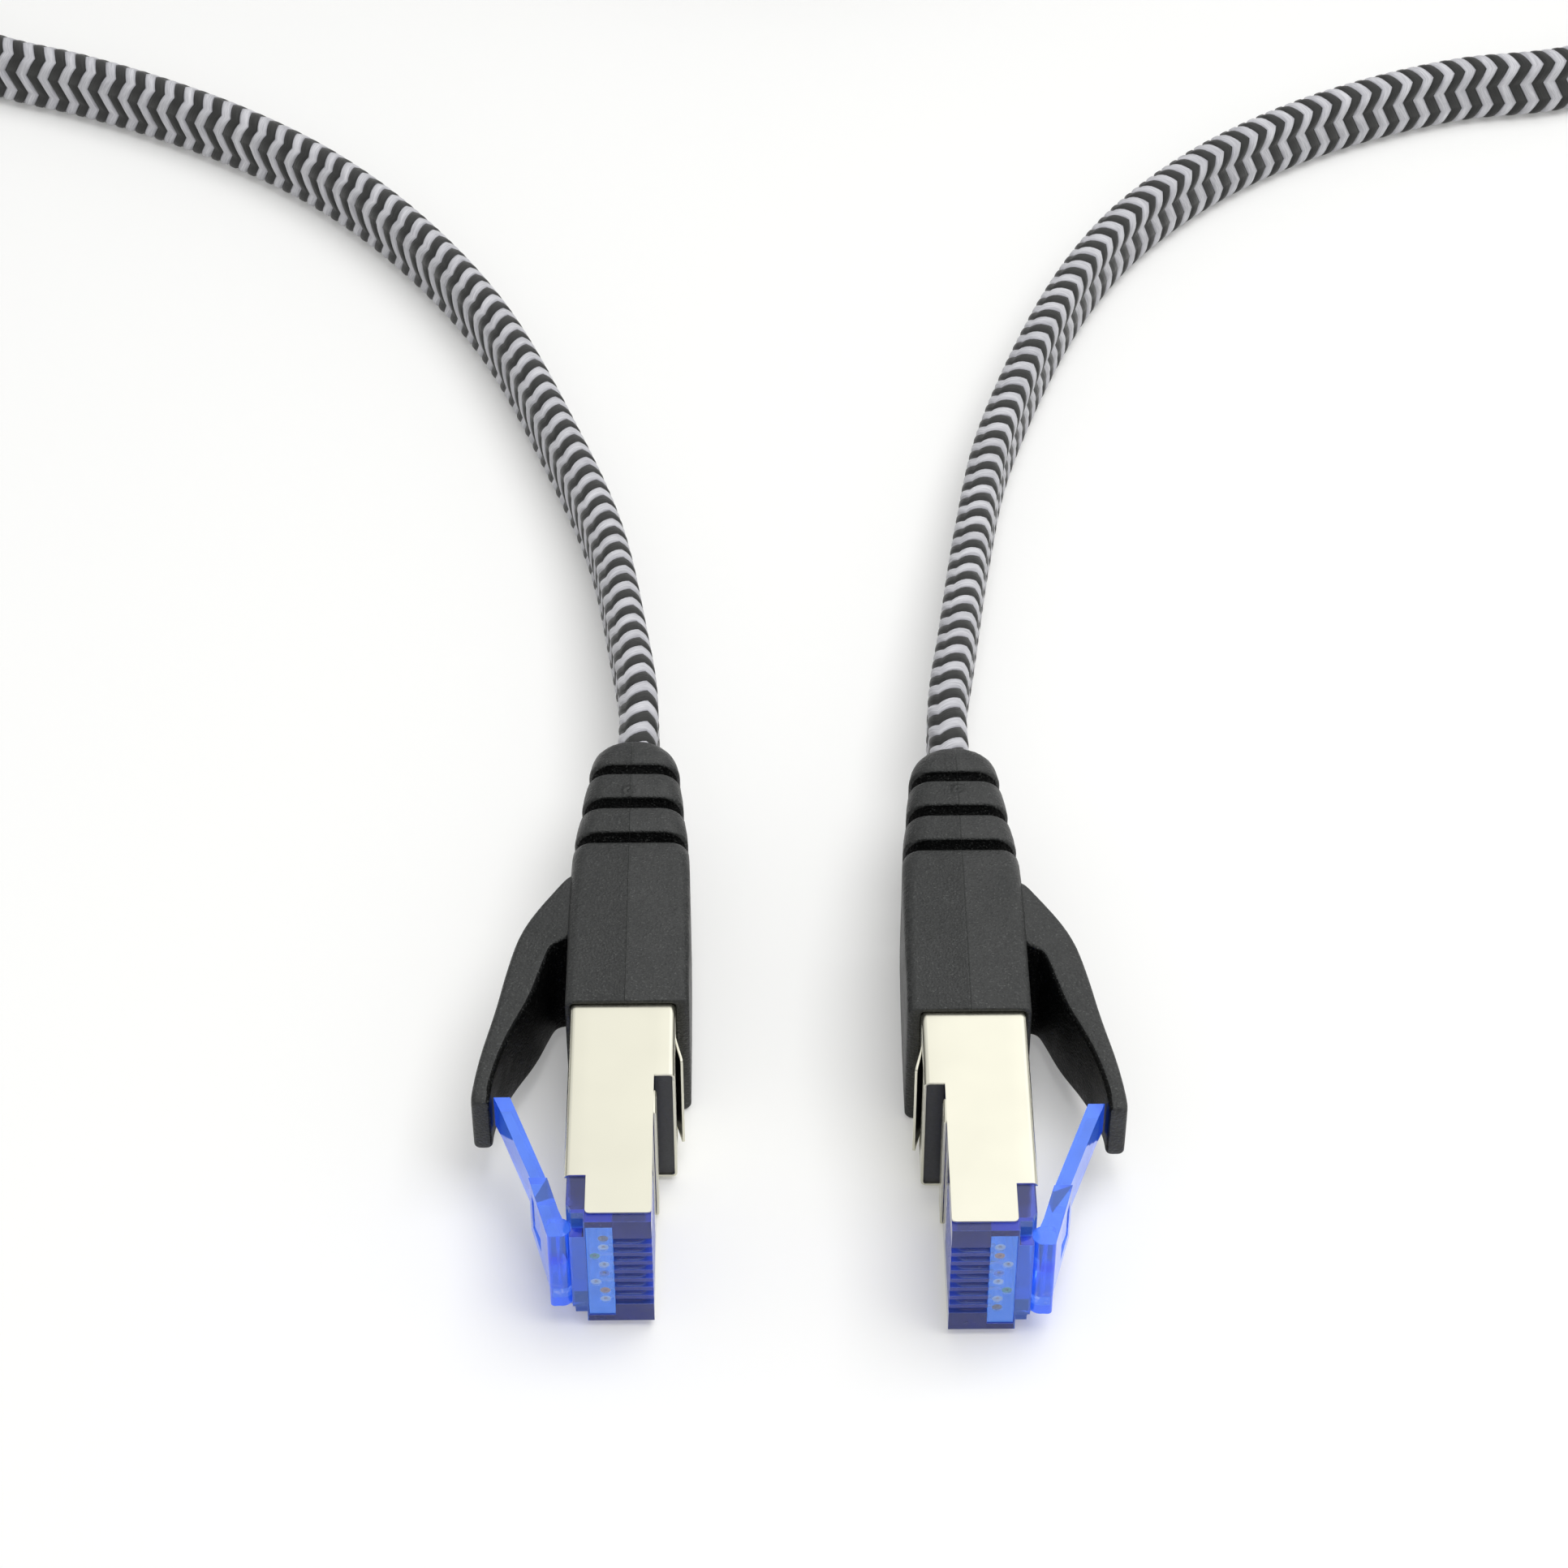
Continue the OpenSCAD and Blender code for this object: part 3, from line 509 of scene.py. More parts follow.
def new_group(name, inputs, outputs):
    group = bpy.data.node_groups.new(name, "ShaderNodeTree")
    for label, kind, value in inputs:
        socket = group.interface.new_socket(name=label, in_out="INPUT", socket_type=kind)
        if value is not None:
            socket.default_value = value
    for label in outputs:
        group.interface.new_socket(name=label, in_out="OUTPUT", socket_type=FLOAT)
    return group, add_node(group, "NodeGroupInput").outputs, add_node(group, "NodeGroupOutput").inputs


def noise(tree, vector, scale, detail=2.0, roughness=0.5):
    made = put(add_node(tree, "ShaderNodeTexNoise"), Detail=detail, Roughness=roughness)
    tree.links.new(vector, made.inputs["Vector"])
    feed(tree, scale, made.inputs["Scale"])
    return made.outputs["Fac"]


def contrast(tree, value, gain, offset):
    """Spreads the middle of a noise over 0 to 1."""
    return math_node(tree, "MULTIPLY_ADD", value, gain, offset, clamp=True)


sparked_grain, given, out = new_group(
    "sparked_grain", [("Place", VECTOR, None), ("Grain mm", FLOAT, 0.16)], ["Height", "Shade"])
per_metre = math_node(sparked_grain, "DIVIDE", PER_METRE, given["Grain mm"])
fine = noise(sparked_grain, given["Place"], per_metre)
coarse = noise(sparked_grain, given["Place"], math_node(sparked_grain, "MULTIPLY", per_metre, COARSER))
grain_height = math_node(sparked_grain, "ADD", math_node(sparked_grain, "MULTIPLY", fine, FINE_SHARE),
                         math_node(sparked_grain, "MULTIPLY", coarse, 1 - FINE_SHARE))
sparked_grain.links.new(grain_height, out["Height"])
sparked_grain.links.new(contrast(sparked_grain, grain_height, 2.4, -0.7), out["Shade"])
print("group", sparked_grain.name, "with", len(sparked_grain.nodes), "nodes")

# %% [markdown]
# ## Shared surface effects: smudges
# Everything that is handled carries faint smudges, which dull the gloss here and there. This group gives the
# roughness itself, from a base and a spread, and the mask of the smudges for the colour.

# %% Node group: smudges
smudges, given, out = new_group(
    "smudges", [("Place", VECTOR, None), ("Patch mm", FLOAT, 4.0), ("Base", FLOAT, 0.3),
                ("Spread", FLOAT, 0.1)], ["Roughness", "Mask"])
patches = noise(smudges, given["Place"], math_node(smudges, "DIVIDE", PER_METRE, given["Patch mm"]), 4.0)
mask = contrast(smudges, patches, 3.0, -1.0)
smudges.links.new(mask, out["Mask"])
smudges.links.new(math_node(smudges, "MULTIPLY_ADD", mask, given["Spread"], given["Base"]), out["Roughness"])


def use_group(tree, group, at, **values):
    made = put(add_node(tree, "ShaderNodeGroup", node_tree=group), **values)
    tree.links.new(at, made.inputs["Place"])
    return made.outputs


print("group", smudges.name, "with", len(smudges.nodes), "nodes")


# %% [markdown]
# ## Joining an effect to a material
# Every finish below starts from the place on the surface, mixes two colours by some pattern, and hands a
# height to a bump whose depth is a real one in millimetres.

# %% Place, bump and mixed colour
def surface_place(tree):
    return add_node(tree, "ShaderNodeTexCoord").outputs["Object"]


def bump(tree, shader, height, depth_mm, strength=1.0):
    made = put(add_node(tree, "ShaderNodeBump"), Strength=strength, Distance=depth_mm * MM)
    tree.links.new(height, made.inputs["Height"])
    tree.links.new(made.outputs[0], shader.inputs["Normal"])


def mix_colours(tree, factor, dark, pale):
    """Dark where the factor is 0 and pale where it is 1. Each is a colour or a socket."""
    made = add_node(tree, "ShaderNodeMix", data_type="RGBA")
    for value, socket in ((factor, 0), (dark, 6), (pale, 7)):
        feed(tree, value, made.inputs[socket])
    return made.outputs[2]


def near(tree, value, goal_mm, width_mm):
    """1 where a coordinate in metres lies at goal_mm, falling to 0 at width_mm from it."""
    away = math_node(tree, "ABSOLUTE", math_node(tree, "SUBTRACT", value, goal_mm * MM))
    return math_node(tree, "SUBTRACT", 1.0, math_node(tree, "DIVIDE", away, width_mm * MM), clamp=True)


# %% [markdown]
# ## Boot material: traces of the mould
# The boot and the latch guard are soft black PVC. The halves of the mould leave a thin seam along the middle,
# and a shallow round crater marks the gate where the plastic came in. Both could be modelled, but they are
# finer than the mesh, so they are masks worked out from the place on the surface.

# %% Seam and gate
SEAM_X, GATE_Y, GATE_LOWEST = FACE_X + 2.35, 19.9, 11.0
SEAM_HALF, GATE_R, GATE_OFF_SEAM, CRATER_DEPTH = 0.06, 0.75, 0.1, 0.3
boot_rubber, tree, shader = new_material("sparked_black_pvc", Roughness=0.5, IOR=1.5)
at = surface_place(tree)
xyz = split_xyz(tree, at)
from_middle = math_node(tree, "ABSOLUTE", xyz["X"])
seam = near(tree, from_middle, SEAM_X, SEAM_HALF)
gate = math_node(tree, "MULTIPLY", near(tree, from_middle, SEAM_X + GATE_OFF_SEAM, GATE_R),
                 near(tree, xyz["Y"], GATE_Y, GATE_R))
gate = math_node(tree, "MULTIPLY", gate, math_node(tree, "GREATER_THAN", xyz["Z"], GATE_LOWEST * MM))
crater = math_node(tree, "PINGPONG", gate, CRATER_DEPTH)
print("seam at", round(SEAM_X, 2), "mm and gate at", GATE_Y, "mm")

# %% [markdown]
# ## Boot material: soft sparked rubber
# The mould was spark-eroded, so the surface is a matt grain of a fifth of a millimetre, and its high spots
# catch the light. The grain drives the bump and, a little, the colour, because a bump alone vanishes under
# soft light. The seam is a fine ridge, with a pale line painted on it as its highlight, the gate a crater,
# and the grey flecks are painted glints of the sparked grain.

# %% Soft sparked rubber
SEAM_HIGHLIGHT, SEAM_HEIGHT, CRATER_HEIGHT, GLINT_SHARE = 1.3, 0.3, 2.4, 0.45
grain = use_group(tree, sparked_grain, at, Grain_mm=0.2)
# the seam's pale line in the colour is a painted highlight along the ridge
shade = math_node(tree, "MULTIPLY_ADD", seam, SEAM_HIGHLIGHT, grain["Shade"])
plain = mix_colours(tree, shade, (0.004, 0.0046, 0.0045), (0.021, 0.0225, 0.0215))
# grey flecks: painted glints of the sparked grain
glint_flecks = contrast(tree, noise(tree, at, 6200.0, 1.0), 9.0, -5.6)
glinted = mix_colours(tree, math_node(tree, "MULTIPLY", glint_flecks, GLINT_SHARE), plain, (0.105, 0.11, 0.105))
tree.links.new(glinted, shader.inputs["Base Color"])
worn = use_group(tree, smudges, at, Patch_mm=3.0, Base=0.4, Spread=0.12)
tree.links.new(worn["Roughness"], shader.inputs["Roughness"])
ridged = math_node(tree, "MULTIPLY_ADD", seam, SEAM_HEIGHT, grain["Height"])
relief = math_node(tree, "MULTIPLY_ADD", crater, CRATER_HEIGHT, ridged)
bump(tree, shader, relief, 0.14)
print(boot_rubber.name, "with", len(tree.nodes), "nodes")

# %% [markdown]
# ## Boot material: painted shade
# Faces in the grooves and inside the guard get a painted shade: a deeper black with less gloss, standing
# in for the shade that falls there. They share the recipe and differ only in colour and gloss, so this
# material is a copy with three values changed.

# %% Painted shade for the grooves and the guard's inner face
painted_shade_rubber = boot_rubber.copy()
painted_shade_rubber.name = "painted_shade_black_pvc"
copied = painted_shade_rubber.node_tree.nodes
# the two colours of the painted shade, darker than the boot's own black
for socket, colour in ((6, (0.0006, 0.0007, 0.0007)), (7, (0.0035, 0.0038, 0.0038))):
    feed(painted_shade_rubber.node_tree, colour, copied[plain.node.name].inputs[socket])
put(copied["Principled BSDF"], Specular_IOR_Level=0.12)


def paint_shade(obj, is_shaded):
    """Gives the painted shade, a deeper black, to the faces for which the given test of normal and centre
    holds.
    """
    obj.data.materials.append(painted_shade_rubber)
    for polygon in obj.data.polygons:
        if is_shaded(polygon.normal, polygon.center):
            polygon.material_index = 1


print("two kinds of black:", boot_rubber.name, "and", painted_shade_rubber.name)

# %% [markdown]
# ## Metals
# The shell is nickel over steel sheet: warm, satin, with faint rolling marks. The blades are plated with
# gold, the ferrule and the drain wire with tin. One recipe serves all of them: a plain metal whose gloss is
# dulled in patches and whose surface waves very slightly, as sheet and plating do.


# %% Nickel, gold, tin, copper and foil
def metal(name, colour, base_rough, spread, patch_mm, marks_mm, depth_mm):
    material, tree, shader = new_material(name, Metallic=1.0, Base_Color=(*colour, 1))
    at = surface_place(tree)
    dull = use_group(tree, smudges, at, Patch_mm=patch_mm, Base=base_rough, Spread=spread)
    tree.links.new(dull["Roughness"], shader.inputs["Roughness"])
    shade = tuple(c * 0.975 for c in colour)
    tree.links.new(mix_colours(tree, dull["Mask"], colour, shade), shader.inputs["Base Color"])
    bump(tree, shader, noise(tree, at, PER_METRE / marks_mm, 3.0), depth_mm, 0.6)
    return material


nickel = metal("satin_nickel", (0.70, 0.685, 0.575), 0.22, 0.05, 6.0, 0.9, 0.003)
gold = metal("gold_plate", (0.83, 0.60, 0.22), 0.18, 0.10, 1.0, 0.3, 0.003)
tin = metal("tinned_steel", (0.66, 0.67, 0.68), 0.32, 0.12, 1.5, 0.4, 0.004)
copper = metal("drawn_copper", (0.82, 0.43, 0.24), 0.3, 0.1, 0.6, 0.2, 0.002)
foil = metal("bright_foil", (0.78, 0.79, 0.81), 0.2, 0.15, 1.2, 0.5, 0.02)
print("metals:", [m.name for m in (nickel, gold, tin, copper, foil)])


# %% [markdown]
# ## Clear plastics
# The housing and latch are clear polycarbonate dyed royal blue, and the load bar is frosted. Real light goes
# through them, comes out deeper where it crosses more edges, and lays a blue patch on what is near. Following
# every such ray would take far too long, so each plastic is glass with a colour, and a faint light of its own
# stands in for the rest: `glow` is what the plastic gathers, and `cast` what falls on things beside it. Thin
# walls, slot walls and rounded edges are plastics of their own, paler and with more glow painted in for the
# light that they gather; on the rounded edges this is a painted highlight.

# %% Clear plastics
def clear_plastic(name, colour, rough, spread, clear, glow=(0, 0, 0), cast=(0, 0, 0)):
    material, tree, shader = new_material(name, Base_Color=(*colour, 1), IOR=1.58, Transmission_Weight=clear,
                                          Emission_Color=(*glow, 1), Emission_Strength=1.0)
    if any(cast):
        on_things = add_node(tree, "ShaderNodeLightPath").outputs["Is Diffuse Ray"]
        tree.links.new(mix_colours(tree, on_things, glow, cast), shader.inputs["Emission Color"])
    at = surface_place(tree)
    hazy = use_group(tree, smudges, at, Patch_mm=1.6, Base=rough, Spread=spread)
    tree.links.new(hazy["Roughness"], shader.inputs["Roughness"])
    deeper = tuple(c * 0.86 for c in colour)
    tree.links.new(mix_colours(tree, hazy["Mask"], colour, deeper), shader.inputs["Base Color"])
    bump(tree, shader, noise(tree, at, PER_METRE / 1.1), 0.02, 0.5)
    return material


clear_blue = clear_plastic("royal_blue_polycarbonate", (0.085, 0.14, 0.74), 0.03, 0.04, 0.86)
# thin walls: paler, with more painted glow
thin_blue = clear_plastic("thin_blue_polycarbonate", (0.11, 0.30, 1.0), 0.04, 0.05, 0.72,
                          (0.004, 0.02, 0.10), (0.006, 0.03, 0.19))
# slot walls: paler, with a little painted glow
slot_blue = clear_plastic("slot_wall_polycarbonate", (0.20, 0.30, 0.95), 0.06, 0.06, 0.75,
                          (0.002, 0.006, 0.02))
# rounded edges: paler and glowing, a painted highlight
edge_highlight_blue = clear_plastic("blue_painted_edge_highlight", (0.16, 0.24, 0.95), 0.2, 0.1, 0.4, (0.01, 0.02, 0.06))
frosted = clear_plastic("frosted_polycarbonate", (0.36, 0.54, 0.95), 0.34, 0.12, 0.6, (0.015, 0.06, 0.17))
bar_front = clear_plastic("load_bar_front", (0.74, 0.82, 0.97), 0.15, 0.05, 0.95, (0.008, 0.022, 0.05))
# rounded edges of the load bar: a painted highlight
frosted_edge_highlight = clear_plastic("frosted_edge_highlight", (0.40, 0.66, 1.0), 0.3, 0.1, 0.3, (0.03, 0.14, 0.35))
plastics = (clear_blue, thin_blue, slot_blue, edge_highlight_blue, frosted, bar_front, frosted_edge_highlight)
print("plastics:", [m.name for m in plastics])


# %% [markdown]
# ## Latch plastic
# The latch is the same plastic as the thin walls. Across its root runs a darker band of painted shade,
# and beside it sits a ragged pale speck. Both lie near the nose and are laid over the colour that the copied
# material already has.

# %% Latch plastic
ROOT_END_Y = -24.6
ROOT_SHADE_UP, ROOT_SHADE_HALF, ROOT_SHADE_DEPTH = 1.4, 1.1, 0.85
SPECK_UP, SPECK_R = -2.2, 0.75
latch_blue = thin_blue.copy()
latch_blue.name = "latch_polycarbonate"
tree = latch_blue.node_tree
base_colour = tree.nodes["Principled BSDF"].inputs["Base Color"]
at = surface_place(tree)
xyz = split_xyz(tree, at)
at_root = math_node(tree, "LESS_THAN", xyz["Y"], ROOT_END_Y * MM)
root_band_shade = math_node(tree, "MULTIPLY", near(tree, xyz["Z"], MID + ROOT_SHADE_UP, ROOT_SHADE_HALF), at_root)
root_band_shade = math_node(tree, "MULTIPLY", root_band_shade, ROOT_SHADE_DEPTH)
patch = math_node(tree, "MULTIPLY", near(tree, xyz["Z"], MID + SPECK_UP, SPECK_R), at_root)
ragged = contrast(tree, noise(tree, at, 3400.0, 3.0), 8.0, -3.9)
speck = math_node(tree, "MULTIPLY", patch, ragged, clamp=True)
# the dark band across the root is painted shade, and the pale speck sits beside it
for factor, tint in ((root_band_shade, (0.03, 0.05, 0.80)), (speck, (0.75, 0.85, 1.0))):
    tree.links.new(mix_colours(tree, factor, base_colour.links[0].from_socket, tint), base_colour)
print(latch_blue.name, "with", len(tree.nodes), "nodes")


# %% [markdown]
# ## Opaque plastics
# The inner mould is stiff black polyethylene, and the wires are coated with a dyed one. Nothing of them is
# seen close by, so a fine grain in the colour and in the bump is enough.

# %% Opaque plastics
def dull_plastic(name, colour, rough):
    material, tree, shader = new_material(name, Roughness=rough)
    grain = use_group(tree, sparked_grain, surface_place(tree), Grain_mm=0.12)
    paler = tuple(min(1.0, c * 1.25 + 0.01) for c in colour)
    tree.links.new(mix_colours(tree, grain["Shade"], colour, paler), shader.inputs["Base Color"])
    bump(tree, shader, grain["Height"], 0.02, 0.5)
    return material, tree, shader


black_mould = dull_plastic("black_polyethylene", (0.018, 0.019, 0.024), 0.34)[0]
print("inner mould:", black_mould.name)


# %% [markdown]
# ## Wire insulation
# In each pair one wire has the pair's colour and the other is white. The wires lie side by side at the
# spacing of the contacts, so counting that spacing upwards tells which of the two a place belongs to. The two
# plugs mirror each other, which swaps the count on one side.

# %% Wire insulation
CONTACT_PITCH = 1.016
WHITE = (0.86, 0.86, 0.84)
wire_colours = {"brown": (0.26, 0.11, 0.05), "green": (0.03, 0.36, 0.16), "blue": (0.04, 0.14, 0.58),
                "orange": (0.85, 0.28, 0.05)}


def insulation(name, colour):
    material, tree, shader = dull_plastic(name, colour, 0.4)
    base_colour = shader.inputs["Base Color"]
    xyz = split_xyz(tree, surface_place(tree))
    wire = math_node(tree, "MULTIPLY_ADD", xyz["Z"], 1 / (CONTACT_PITCH * MM), 4.0 - MID / CONTACT_PITCH)
    odd = math_node(tree, "MODULO", math_node(tree, "FLOOR", wire), 2.0)
    on_right = math_node(tree, "GREATER_THAN", xyz["X"], 0.0)
    is_white = math_node(tree, "COMPARE", odd, on_right, 0.5)
    tree.links.new(mix_colours(tree, is_white, base_colour.links[0].from_socket, WHITE), base_colour)
    return material


wires = {key: insulation(key + "_and_white", value) for key, value in wire_colours.items()}
print("wires:", list(wires), "and", len(bpy.data.materials), "materials so far")

# %% [markdown]
# ## Braid material: filaments
# Both yarns are bundles of fine polyester filaments. The UV map counts columns round the cord and pairs of
# rows along it. Filaments run along the bundle, so their lines are a noise that is fine across the rows and
# long round the cord, and a painted shade darkens them towards the bundle's edges, where it dips under its
# neighbours.

# %% Filaments
yarn, tree, shader = new_material("braided_yarn", Roughness=0.62, Sheen_Weight=0.25, Sheen_Roughness=0.4)
chart = split_xyz(tree, add_node(tree, "ShaderNodeUVMap", uv_map="braid").outputs[0])
column, row = chart["X"], chart["Y"]
stretched = add_node(tree, "ShaderNodeCombineXYZ")
tree.links.new(math_node(tree, "MULTIPLY", column, 1.6), stretched.inputs["X"])
tree.links.new(math_node(tree, "MULTIPLY", row, 22.0), stretched.inputs["Y"])
strands = noise(tree, stretched.outputs[0], 1.0, 2.0, 0.6)
patch = noise(tree, stretched.outputs[0], 0.13)
in_bundle = math_node(tree, "FRACT", math_node(tree, "MULTIPLY", row, 2.0))
from_middle = math_node(tree, "ABSOLUTE", math_node(tree, "MULTIPLY_ADD", in_bundle, 2.0, -1.0))
# painted shade towards the bundle's edges, where it dips under the next column
edge = math_node(tree, "MULTIPLY", math_node(tree, "POWER", from_middle, 5.0), 0.75)
uneven = math_node(tree, "MULTIPLY_ADD", patch, 0.5, -0.15)
light = math_node(tree, "MULTIPLY_ADD", strands, 0.8, uneven, clamp=True)
lit = math_node(tree, "MULTIPLY", light, math_node(tree, "SUBTRACT", 1.0, edge))
print(yarn.name, "with", len(tree.nodes), "nodes so far")

# %% [markdown]
# ## Braid material: black and lavender
# A yarn's colour is simply which half of a pair of rows it lies in. Even the black has a range, from the dark
# between the filaments to the grey of their sheen.

# %% Black and lavender yarn
black_yarn = mix_colours(tree, lit, (0.002, 0.002, 0.0025), (0.027, 0.028, 0.026))
pale_yarn = mix_colours(tree, lit, (0.20, 0.20, 0.235), (0.97, 0.97, 1.0))
is_pale = math_node(tree, "GREATER_THAN", math_node(tree, "FRACT", row), 0.5)
tree.links.new(mix_colours(tree, is_pale, black_yarn, pale_yarn), shader.inputs["Base Color"])
bump(tree, shader, strands, 0.06, 0.8)
cord.data.materials.append(yarn)
print(yarn.name, "is on", cord.name)

# %% [markdown]
# ## Places on a plug
# Each plug has its own axes: `across` from the contact face to the latch, `back` from the nose to the cable
# and `up` from the middle of its width. The left plug is the right one's mirror image, so one function puts
# both in place, and turns the faces round on the mirrored side.

# %% Plug places
SIDES = {"left": -1, "right": 1}


def on_plug(side, points):
    """Points as rows of (across, back, up) in a plug's own millimetres, put in the scene's millimetres."""
    p = np.asarray(points, float).reshape(-1, 3)
    sign = SIDES[side]
    return np.stack([sign * (FACE_X + p[:, 0]), p[:, 1] - HALF_LEN - sign * STAGGER, MID + p[:, 2]], -1)


def flipped(faces):
    return [tuple(reversed(f)) for f in faces]


def plug_mesh(name, side, points, faces, material):
    """A mesh on one plug. Faces are given for the right-hand plug, whose across axis points along +X."""
    faces = flipped(faces) if side == "left" else faces
    obj = mesh_object(f"{side}_{name}", on_plug(side, points), faces)
    obj.data.materials.append(material)
    smooth(obj)
    return obj


for side in SIDES:
    print(side, "nose at", [round(float(x), 2) for x in on_plug(side, (0, 0, 0))[0]], "mm")

# %% [markdown]
# ## Lofts and arcs
# Boot, guard and tie are lofts: outlines of the same number of points, set one behind the other and joined.
# Their round stretches are arcs, so an outline is given by a few corners and radii.


# %% Loft and arc
def arc(cx, cy, start, turn, radius, steps):
    """Points on an arc round (cx, cy), whose angles are in degrees."""
    angles = [math.radians(start + turn * k / steps) for k in range(steps + 1)]
    return [(cx + radius * math.cos(a), cy + radius * math.sin(a)) for a in angles]


def box_corner(corner, x0, x1, half, radius, steps):
    """One of the four corners of a rounded box, counted anticlockwise from the one at (x1, half)."""
    cx = x1 - radius if corner in (0, 3) else x0 + radius
    cz = half - radius if corner in (0, 1) else radius - half
    return arc(cx, cz, 90 * corner, 90, radius, steps)


def loft(rings):
    """Faces between rings of equal length. Rings run anticlockwise when seen along the way they follow."""
    count = len(rings[0])
    faces = [tuple(int(v) for v in f) for f in grid_faces(len(rings), count)] + lids(len(rings), count)
    return np.vstack(rings), faces


# %% [markdown]
# ## Finer meshes
# Subdivision, thickness and bevels are modifiers, as they would be when working by hand. They are applied at
# once, because later steps pick out faces of the finished mesh.


# %% Modifiers
def apply_modifiers(obj):
    graph = bpy.context.evaluated_depsgraph_get()
    made = bpy.data.meshes.new_from_object(obj.evaluated_get(graph))
    obj.modifiers.clear()
    obj.data = made


def round_edges(obj, width_mm, segments=2, angle=30, edge_slot=-1):
    """A small bevel on every sharp edge, with normals that stay flat on the faces beside it."""
    bevel = obj.modifiers.new("bevel", "BEVEL")
    bevel.width, bevel.segments = width_mm * MM, segments
    bevel.limit_method, bevel.angle_limit = "ANGLE", math.radians(angle)
    bevel.use_clamp_overlap = True
    bevel.material = edge_slot
    flat = obj.modifiers.new("flat", "WEIGHTED_NORMAL")
    flat.keep_sharp = True
    apply_modifiers(obj)


# %% [markdown]
# ## Boot: its outline
# The boot is moulded round the shell and the cable: a block with softly rounded edges, two rings and a domed
# collar, with deep grooves between them so that it can bend. One rounded outline is set at many places along
# the plug, each with its own size. Two points beside the middle of the upper and lower faces carry the thin
# seam that the mould's halves leave.

# %% Outline of the boot
SEAM_RISE, SEAM_FOOT = 0.03, 0.1


def boot_outline(back, x0, x1, half, radius):
    ring = []
    middle = (x0 + x1) / 2
    for corner in range(4):
        ring += [(x, back, z) for x, z in box_corner(corner, x0, x1, half, radius, 7)]
        if corner in (0, 2):
            sign = 1 if corner == 0 else -1
            for offset, rise in ((SEAM_FOOT, 0.0), (0.0, SEAM_RISE), (-SEAM_FOOT, 0.0)):
                ring.append((middle + sign * offset, back, sign * (half + rise)))
    return ring


print("boot outline:", len(boot_outline(0, -1, 1, 1, 0.2)), "points")

# %% [markdown]
# ## Boot: block, grooves and collar
# Each station says how far back it lies, where its two sides are, half its height and the radius of its
# corners. The block's few stations are typed. A groove is a place where the outline steps in, and the ring
# behind it swells a little in the middle, so both come from one function.

# %% Stations of the boot
BLOCK_END, GROOVE, RING, COLLAR = 40.1, 1.3, 2.95, 4.1
GROOVE_OUTLINE = (-0.6, 4.7, 4.1, 1.6)
GROOVE_WALL, RING_SWELL = 0.03, 0.04
RING_EDGE = ((0.0, 0.22), (0.04, 0.1), (0.11, 0.03), (0.22, 0.0))
block = [
    (24.5, -1.62, 6.68, 6.08, 0.35), (21.97, -1.62, 6.68, 6.08, 0.35), (21.9, -1.7, 6.76, 6.16, 0.4),
    (21.9, -2.4, 6.95, 6.35, 0.6), (21.93, -2.58, 7.05, 6.45, 0.72), (22.02, -2.65, 7.1, 6.5, 0.8),
    (24, -2.66, 7.1, 6.5, 0.82), (28, -2.66, 7.1, 6.48, 0.88), (33, -2.64, 7.1, 6.38, 1.0),
    (37, -2.6, 7.08, 6.22, 1.2), (39, -2.54, 7.04, 6.08, 1.4), (39.8, -2.5, 6.98, 5.98, 1.5),
    (40.03, -2.4, 6.88, 5.9, 1.5), (BLOCK_END, -2.2, 6.7, 5.7, 1.5),
]
collar_dome = (
    (0.0, (-1.4, 5.75, 5.2, 1.9)), (0.02, (-1.57, 5.92, 5.37, 2.0)), (0.08, (-1.64, 5.98, 5.44, 2.1)),
    (0.4, (-1.4, 5.8, 5.3, 2.2)), (0.58, (-1.15, 5.6, 5.12, 2.2)), (0.74, (-0.8, 5.25, 4.85, 2.2)),
    (0.87, (-0.4, 4.8, 4.5, 2.1)), (0.96, (-0.08, 4.4, 4.18, 2.0)), (1.0, (0.12, 4.15, 3.98, 1.9)),
    (1.0, (0.33, 3.77, 3.72, 1.7)), (0.8, (0.33, 3.77, 3.72, 1.7)),
)


def groove(end):
    return [(back, *GROOVE_OUTLINE) for back in (end - GROOVE + GROOVE_WALL, end - GROOVE_WALL)]


def ring_behind(start, x0, x1, half, x0_end, x1_end, half_end):
    """A ring from its front size to its rear size, with rounded edges."""
    end = start + RING
    front = [(start + a, x0 + b, x1 - b, half - b, 2.0 - b / 2) for a, b in RING_EDGE]
    rear = [(end - a, x0_end + b, x1_end - b, half_end - b, 2.0 - b / 2) for a, b in reversed(RING_EDGE)]
    swell = (start + RING / 2, (x0 + x0_end) / 2 - RING_SWELL, (x1 + x1_end) / 2 + RING_SWELL,
             (half + half_end) / 2 + RING_SWELL, 2.05)
    return front + [swell] + rear


ring_1 = BLOCK_END + GROOVE
ring_2 = ring_1 + RING + GROOVE
collar_at = ring_2 + RING + GROOVE
boot_stations = (
    block + groove(ring_1) + ring_behind(ring_1, -2.4, 6.93, 5.9, -2.15, 6.6, 5.76)
    + groove(ring_2) + ring_behind(ring_2, -2.0, 6.45, 5.7, -1.75, 6.12, 5.56)
    + groove(collar_at) + [(collar_at + k * COLLAR, *outline) for k, outline in collar_dome]
)
print("boot:", len(boot_stations), "stations, ends", round(collar_at + COLLAR, 2), "mm behind the nose")

# %% [markdown]
# ## Boot: its skin
# The skin replaces the plain boot of the frame. The floors and walls of the grooves take the painted shade.

